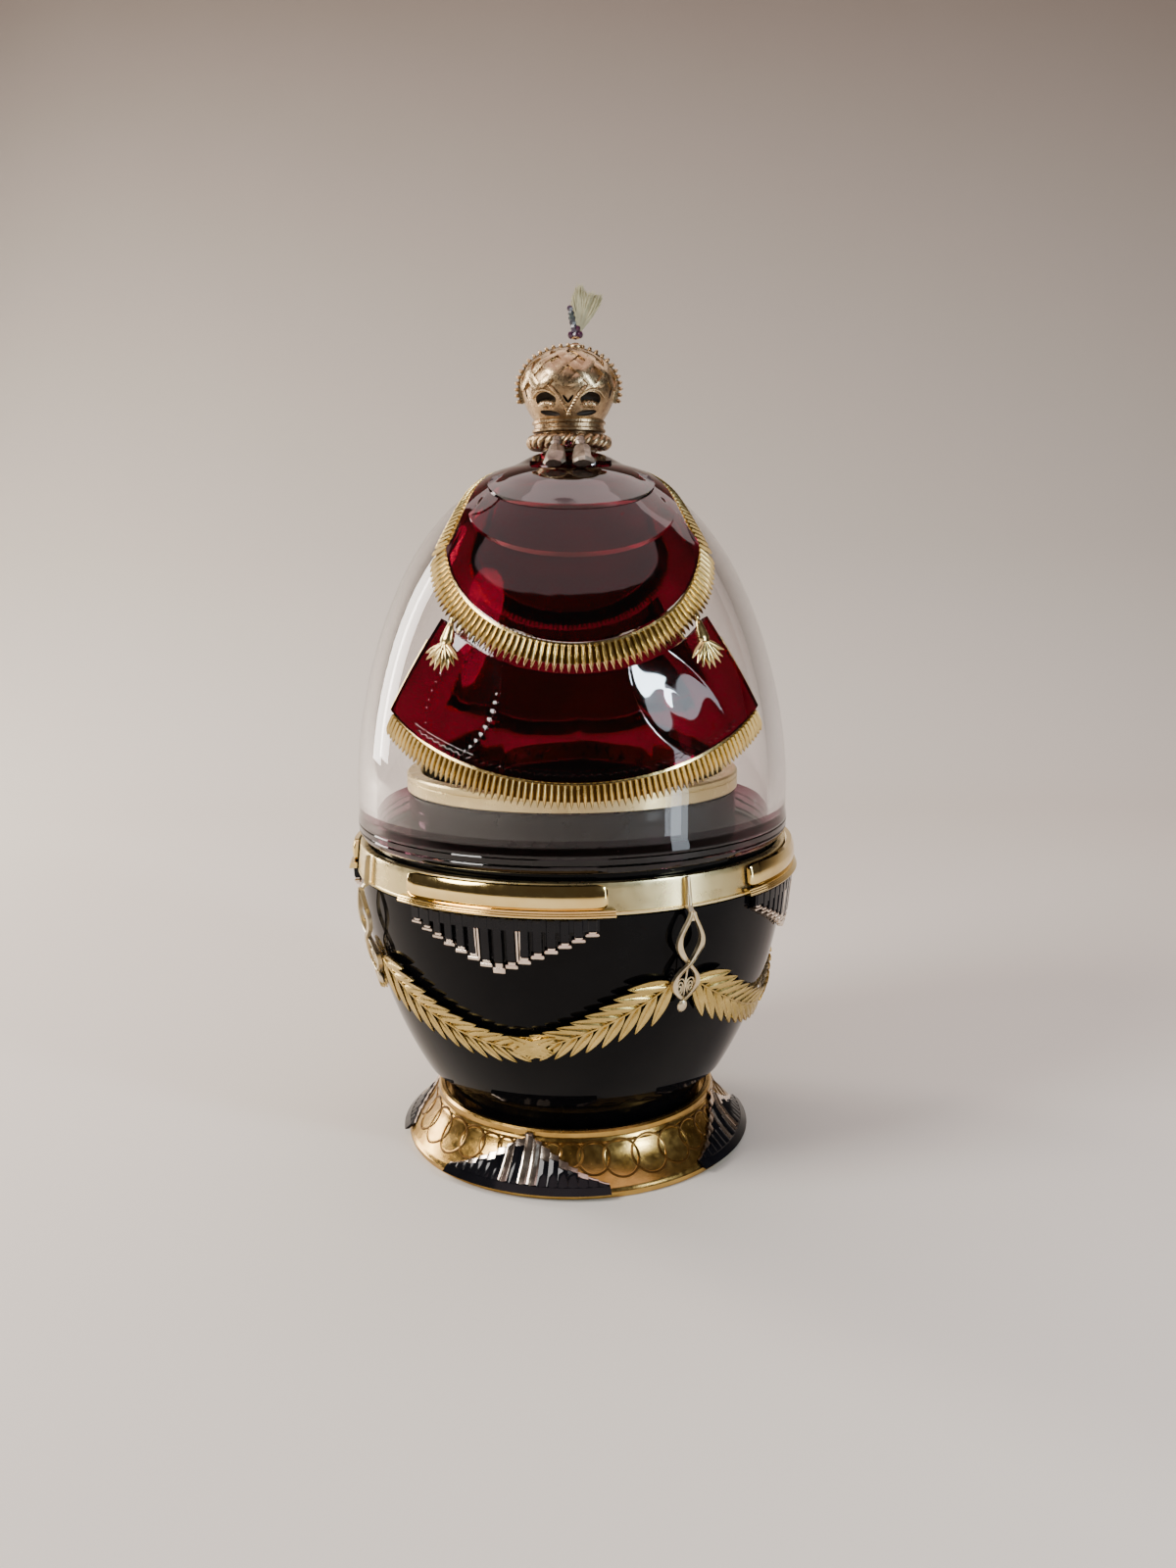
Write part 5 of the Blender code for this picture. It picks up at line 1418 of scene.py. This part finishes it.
def cap_openings():
    """(azimuth, level, half-sizes in mm, lean) of the crescents, leaf slots, notches and side slots."""
    found = []
    for turn in (0.0, math.pi):
        for hand in (-1.0, 1.0):
            found.append((turn + hand * CRESCENT_AZIMUTH, CRESCENT_LEVEL, (2.15, 1.7, 1.30), hand * 0.06))
            found.append((turn + hand * 0.50, -0.86, (2.1, 0.9, 0.50), hand * -0.16))
            found.append((turn + hand * 0.055, -0.46, (0.26, 0.9, 0.85), hand * 0.65))
            found.append((turn + hand * 0.98, 0.16, (0.32, 0.9, 1.35), hand * 0.25))
            found.append((turn + hand * 1.12, -0.18, (0.30, 0.8, 1.20), hand * 0.12))
    return found


def cut_pocket(body, azimuth, level, size, lean):
    """Cuts an oval pocket into the cap, its inside painted dark as shade."""
    turn = Matrix.Rotation(azimuth, 4, "Z") @ Matrix.Rotation(lean, 4, "Y")
    cutter = ball(MM, size, Matrix.Translation(cap_point(azimuth, level)) @ turn, 12, 20)
    dress(cutter, CAP_GILT, POCKET_SHADE)
    # The cutter's faces become the pocket's inside, all painted shade.
    for face in cutter.data.polygons:
        face.material_index = 1
    apply_modifier(body, "BOOLEAN", operation="DIFFERENCE", solver="EXACT", object=cutter)
    drop(cutter)


def ribbed_lid(azimuth):
    """A small ribbed half-shell in the lower part of a crescent opening."""
    centre = cap_point(azimuth, CRESCENT_LEVEL - 0.12, -0.75 * MM)
    lid = ball(1.0, (1.0, 1.0, 1.0), Matrix.Identity(4), 16, 72)
    turn = Matrix.Rotation(azimuth, 4, "Z")

    def ribbed(x, y, z):
        ribs = 1.0 + 0.07 * math.cos(30.0 * math.atan2(z + 1.2, x))
        return centre + turn.to_3x3() @ (Vector((1.95 * x, 1.15 * y, 0.82 * z)) * ribs * MM)

    move_points(lid, ribbed)
    return dress(lid, CAP_BAND_GILT)


def crossing_folds(turn, across):
    """A ribbed fold down to the middle of the neck, and the fine brow over the crescent beside it."""
    hand = math.copysign(1.0, across)

    def fold(u, v, front):
        level = blend(-0.04, -0.93, v)
        azimuth = turn + hand * blend(0.40, -0.03, v**0.85)
        rib = 0.5 + 0.5 * math.cos(v * math.tau * 11.0)
        crown = 1.0 - (2.0 * u - 1.0) ** 2
        lift = -0.3 * MM + front * (0.45 + (0.34 + 0.14 * rib) * crown) * MM
        return cap_point(azimuth + (u - 0.5) * 0.95 * MM / CAP_RADIUS, level, lift)

    points = []
    for i in range(15):
        share = i / 14.0
        azimuth = turn + across + hand * blend(-0.30, 0.34, share)
        level = CRESCENT_LEVEL + 0.30 * math.sin(math.pi * blend(0.06, 0.90, share))
        points.append(cap_point(azimuth, level, 0.02 * MM))
    return [dress(slab(4, 44, fold), CAP_BAND_GILT), dress(tube(points, 0.24 * MM, 1), CAP_BAND_GILT)]


def cap_band(start, way):
    """A flat band that slants over the cap from its waist to its crown."""
    width = 1.60 * MM

    def place(u, v, front):
        level = blend(-0.08, 0.93, v)
        azimuth = start + way * 1.25 * v
        across = (u - 0.5) * width
        ring = max(CAP_RADIUS * math.cos(level * math.pi / 2.0), 0.8 * MM)
        ridge = 0.10 * MM * (1.0 - (2.0 * u - 1.0) ** 2)
        weave = 0.14 * MM * math.sin(v * math.tau * 2.5 + (0.0 if way > 0 else math.pi))
        lift = -0.25 * MM + front * (0.56 * MM + ridge + weave)
        return cap_point(azimuth + across / ring, level - way * across / (CAP_RADIUS * 3.5), lift)

    return dress(slab(4, 22, place), CAP_BAND_GILT)


def cap_arch():
    """The upright arch over the cap, edged with small teeth."""
    band_top = ROPE_HIGH.z + HAIR + CAP_BAND_HEIGHT
    centre = blend(band_top, CAP_TOP_Z, 0.45)
    rise = CAP_TOP_Z - centre
    inner, outer = 0.86, 0.70 * MM

    def place(u, v, front):
        swing = blend(-ARCH_DIP, math.pi + ARCH_DIP, u)
        reach = blend(CAP_RADIUS * inner, CAP_RADIUS + outer, v)
        up = blend(rise * inner, rise + outer, v)
        thick = 0.75 * MM * (1.0 - 0.35 * v)
        return Vector((reach * math.cos(swing), (0.5 - front) * 2.0 * thick, centre + up * math.sin(swing)))

    parts = [slab(64, 3, place)]
    for i in range(ARCH_TEETH):
        swing = blend(-ARCH_DIP, math.pi + ARCH_DIP, (i + 0.5) / ARCH_TEETH)
        reach, up = CAP_RADIUS + outer + 0.12 * MM, rise + outer + 0.12 * MM
        spot = Vector((reach * math.cos(swing), 0.0, centre + up * math.sin(swing)))
        turn = Matrix.Rotation(math.pi / 2.0 - swing, 4, "Y")
        parts.append(ball(0.46 * MM, (0.85, 1.6, 1.25), Matrix.Translation(spot) @ turn, 6, 8))
    return [dress(part, CAP_BAND_GILT) for part in parts]


def make_finial_tassels():
    """Two knotted silver tassels that hang over the rope onto the drapery."""
    profile = (
        (0.0, 0.0), (0.55, -0.05), (0.75, -0.5), (0.60, -1.2), (0.95, -1.7), (0.70, -2.3),
        (1.35, -3.1), (1.85, -5.2), (1.95, -6.9), (1.45, -7.6), (0.0, -7.7),
    )
    for hand, side in (("left", -1.0), ("right", 1.0)):
        tassel = turned([(r * MM, z * MM) for r, z in profile], SILVER_TASSEL_FACETS)

        def pleat(x, y, z):
            spot = Vector((x / MM * 0.7 + side * 7.0, y / MM * 0.7, z / MM * 0.45))
            crease = 1.0 + 0.42 * noise.noise(spot)
            return Vector((x * crease, y * 0.52 * crease, z))

        move_points(tassel, pleat)
        top, foot = Vector(SILVER_TASSEL_KNOT), Vector(SILVER_TASSEL_FOOT)
        top.x, foot.x = side * top.x, side * foot.x
        up = (top - foot).normalized()
        beside = Vector((1.0, 0.0, 0.0))
        inwards = up.cross(beside).normalized()
        basis = Matrix((beside, inwards, up)).transposed().to_4x4()
        tassel.data.transform(Matrix.Translation(top) @ basis)
        close_up(tassel)
        keep(dress(tassel, SILVER), f"finial_tassel_{hand}", 12.0)


def make_finial_ruby():
    low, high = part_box("finial_ruby")
    bpy.ops.object.select_all(action="DESELECT")
    radius = (high.x - low.x) / 2.0
    bpy.ops.mesh.primitive_ico_sphere_add(subdivisions=2, radius=radius, location=(low + high) / 2.0)
    stone = bpy.context.object
    settle(stone)
    keep(dress(stone, RUBY), "finial_ruby", 10.0)


def make_finial_stem():
    """A thin stack of cut dark stones leaning to the left, on a cluster of plum ones."""
    low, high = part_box("finial_stem")
    base = Vector((STEM_OFFSET, 0.0, low.z + 0.75 * MM))
    top = Vector((0.35 * MM, 0.0, high.z - 0.5 * MM))
    turn = (top - base).normalized().to_track_quat("Z", "Y").to_matrix().to_4x4()
    dark, plum = [], []
    for i in range(STEM_STONES):
        share = (i + 0.6) / STEM_STONES
        radius = blend(0.80, 0.60, share) * MM
        place = Matrix.Translation(base.lerp(top, share)) @ turn @ Matrix.Rotation(i * 0.7, 4, "Z")
        dark.append(ball(radius, (1.0, 1.0, 0.95), place, 4, 6))
    for across, up, size in ((-0.85, 0.0, 0.62), (0.0, -0.1, 0.66), (0.85, 0.05, 0.60), (0.42, 1.1, 0.52)):
        spot = base + Vector((across * MM, -0.25 * MM, up * MM))
        place = Matrix.Translation(spot) @ Matrix.Rotation(across, 4, "Z")
        plum.append(ball(size * MM, (1.0, 1.0, 1.15), place, 4, 6))
    collar = ball(0.85 * MM, (1.0, 1.0, 0.35), Matrix.Translation((base.x, 0.0, low.z + 0.30 * MM)), 6, 12)
    parts = [dress(join(dark), STONE), dress(join(plum), PLUM_STONE), dress(collar, CAP_BAND_GILT)]
    keep(join(parts), "finial_stem", 10.0)


def plume_reach(swing):
    """How far the plume's ragged edge lies from its root, in this direction in degrees."""
    for (a0, r0), (a1, r1) in zip(PLUME_REACH, PLUME_REACH[1:]):
        if swing <= a1:
            return blend(r0, r1, (swing - a0) / (a1 - a0)) * MM
    return PLUME_REACH[-1][1] * MM


def make_finial_plume():
    """A tuft of fine flat filaments that fan out to ragged tips."""
    low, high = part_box("finial_plume")
    root = Vector((2.1 * MM, (low.y + high.y) / 2.0 - 0.3 * MM, low.z))
    filaments = []
    for i in range(PLUME_FILAMENTS):
        degrees = blend(PLUME_REACH[0][0], PLUME_REACH[-1][0], (i * 0.618034) % 1.0)
        swing = math.radians(degrees)
        ragged = noise.noise(Vector((i * 1.7, 0.3, 0.5)))
        length = plume_reach(degrees) * (0.93 + 0.12 * ragged)
        depth = 0.80 * MM * noise.noise(Vector((i * 2.3, 1.9, 0.1)))
        bow = 0.8 * MM * noise.noise(Vector((i * 0.9, 5.2, 0.7)))

        def place(u, v, front):
            width = 0.30 * MM * (1.0 - 0.75 * v)
            along = v * length
            x = root.x + along * math.sin(swing) + bow * math.sin(v * math.pi) + (u - 0.5) * width
            y = root.y + depth * v * 1.5 + (front - 0.5) * width * 0.6
            return Vector((x, y, min(root.z + along * math.cos(swing), high.z)))

        filaments.append(slab(1, 6, place))

    def web(u, v, front):
        degrees = blend(PLUME_REACH[0][0], PLUME_REACH[-1][0], u)
        along = v * plume_reach(degrees) * 0.84
        swing = math.radians(degrees)
        y = root.y + (front - 0.5) * 0.3 * MM
        return Vector((root.x + along * math.sin(swing), y, root.z + along * math.cos(swing)))

    filaments.append(slab(28, 6, web))
    keep(dress(join(filaments), PLUME), "finial_plume", 60.0)


# Room, lights and camera

def area_light(name, place, target, width, height, power, colour, shape="RECTANGLE"):
    data = bpy.data.lights.new(name, "AREA")
    data.shape = shape
    data.size, data.size_y = width, height
    data.energy = power
    data.color = colour
    light = bpy.data.objects.new(name, data)
    light.location = place
    light.rotation_euler = (Vector(target) - Vector(place)).to_track_quat("-Z", "Y").to_euler()
    bpy.context.scene.collection.objects.link(light)


def make_stage():
    """A pale floor that sweeps up into a plain backdrop."""
    profile = [(FLOOR_FRONT, 0.0), (FLOOR_BACK, 0.0)]
    for i in range(1, SWEEP_STEPS + 1):
        swing = math.pi / 2.0 * i / SWEEP_STEPS
        rise = SWEEP_RADIUS * (1.0 - math.cos(swing))
        profile.append((FLOOR_BACK + SWEEP_RADIUS * math.sin(swing), rise))
    profile.append((FLOOR_BACK + SWEEP_RADIUS, BACKDROP_HEIGHT))

    def place(u, v, front):
        y, z = profile[round(v * (len(profile) - 1))]
        return ((u - 0.5) * FLOOR_WIDTH, y + front * 0.002, z - front * 0.002)

    sweep = slab(2, len(profile) - 1, place)
    sweep.name = "pale_sweep"
    finish, shader = new_finish("pale_sweep")
    where = node(finish, "TexCoord")
    apart = node(finish, "SeparateXYZ")
    link(finish, where.outputs["Object"], apart.inputs["Vector"])
    upwards = node(finish, "MapRange")
    upwards.inputs["From Max"].default_value = BACKDROP_HEIGHT / 2.0
    link(finish, apart.outputs["Z"], upwards.inputs["Value"])
    mix = node(finish, "Mix", data_type="RGBA")
    mix.inputs["A"].default_value = FLOOR_TONE
    mix.inputs["B"].default_value = BACKDROP_TONE
    link(finish, upwards.outputs["Result"], mix.inputs["Factor"])
    link(finish, mix.outputs["Result"], shader.inputs["Base Color"])
    link(finish, spread(finish, cloudy(finish, 0.02), 0.85, 0.95), shader.inputs["Roughness"])
    dress(sweep, finish)
    activate(sweep)
    bpy.ops.object.shade_smooth_by_angle(angle=math.radians(30.0))


def make_lights():
    world = bpy.data.worlds.new("soft_room")
    bpy.context.scene.world = world
    world.use_nodes = True
    backdrop = world.node_tree.nodes["Background"]
    backdrop.inputs["Color"].default_value = ROOM_TONE
    backdrop.inputs["Strength"].default_value = ROOM_LIGHT
    egg = (0.0, 0.0, 80.0 * MM)
    area_light("key_window", (0.40, -0.33, 0.25), egg, 0.050, 0.075, 1.2, (0.72, 0.87, 1.0))
    cup_neck = (0.0, 0.0, 70.0 * MM)
    area_light("low_window", (0.215, -0.165, 0.095), cup_neck, 0.045, 0.17, 0.16, (0.80, 0.90, 1.0))
    area_light("left_strip", (-0.45, 0.26, 0.25), egg, 0.10, 0.45, 2.6, (1.0, 0.92, 0.84))
    area_light("back_top", (0.05, 0.36, 0.56), egg, 0.90, 0.40, 2.0, (1.0, 0.88, 0.84))
    area_light("top_soft", (0.0, -0.05, 0.62), egg, 0.85, 0.70, 1.6, (1.0, 0.74, 0.76), "ELLIPSE")
    area_light("left_fill", (-0.50, -0.27, 0.45), egg, 0.30, 0.30, 5.4, (1.0, 0.96, 0.92), "ELLIPSE")


def make_camera():
    data = bpy.data.cameras.new("camera")
    data.lens = CAMERA_LENS
    data.sensor_width = CAMERA_SENSOR
    data.clip_start = 0.01
    camera = bpy.data.objects.new("camera", data)
    pitch = Matrix.Rotation(CAMERA_PITCH, 4, "X")
    roll = Matrix.Rotation(CAMERA_ROLL, 4, "Z")
    camera.matrix_world = Matrix.Translation(CAMERA_PLACE) @ pitch @ roll
    bpy.context.scene.collection.objects.link(camera)
    bpy.context.scene.camera = camera


def main():
    make_foot_ring()
    make_foot_panels()
    make_cup()
    make_cup_rim()
    make_neck_ring()
    make_rim_plates()
    make_stepped_pendants()
    make_drop_ornaments()
    make_garlands()
    make_crystal_dome()
    make_top_drapes()
    make_skirt_drapes()
    thread = strand()
    make_top_fringes(thread)
    make_skirt_fringes(thread)
    make_edge_wires()
    make_skirt_tassels(thread)
    make_finial_base()
    make_finial_rope()
    make_finial_cap()
    make_finial_tassels()
    drop(thread)
    make_finial_ruby()
    make_finial_stem()
    make_finial_plume()
    make_stage()
    make_lights()
    make_camera()


main()
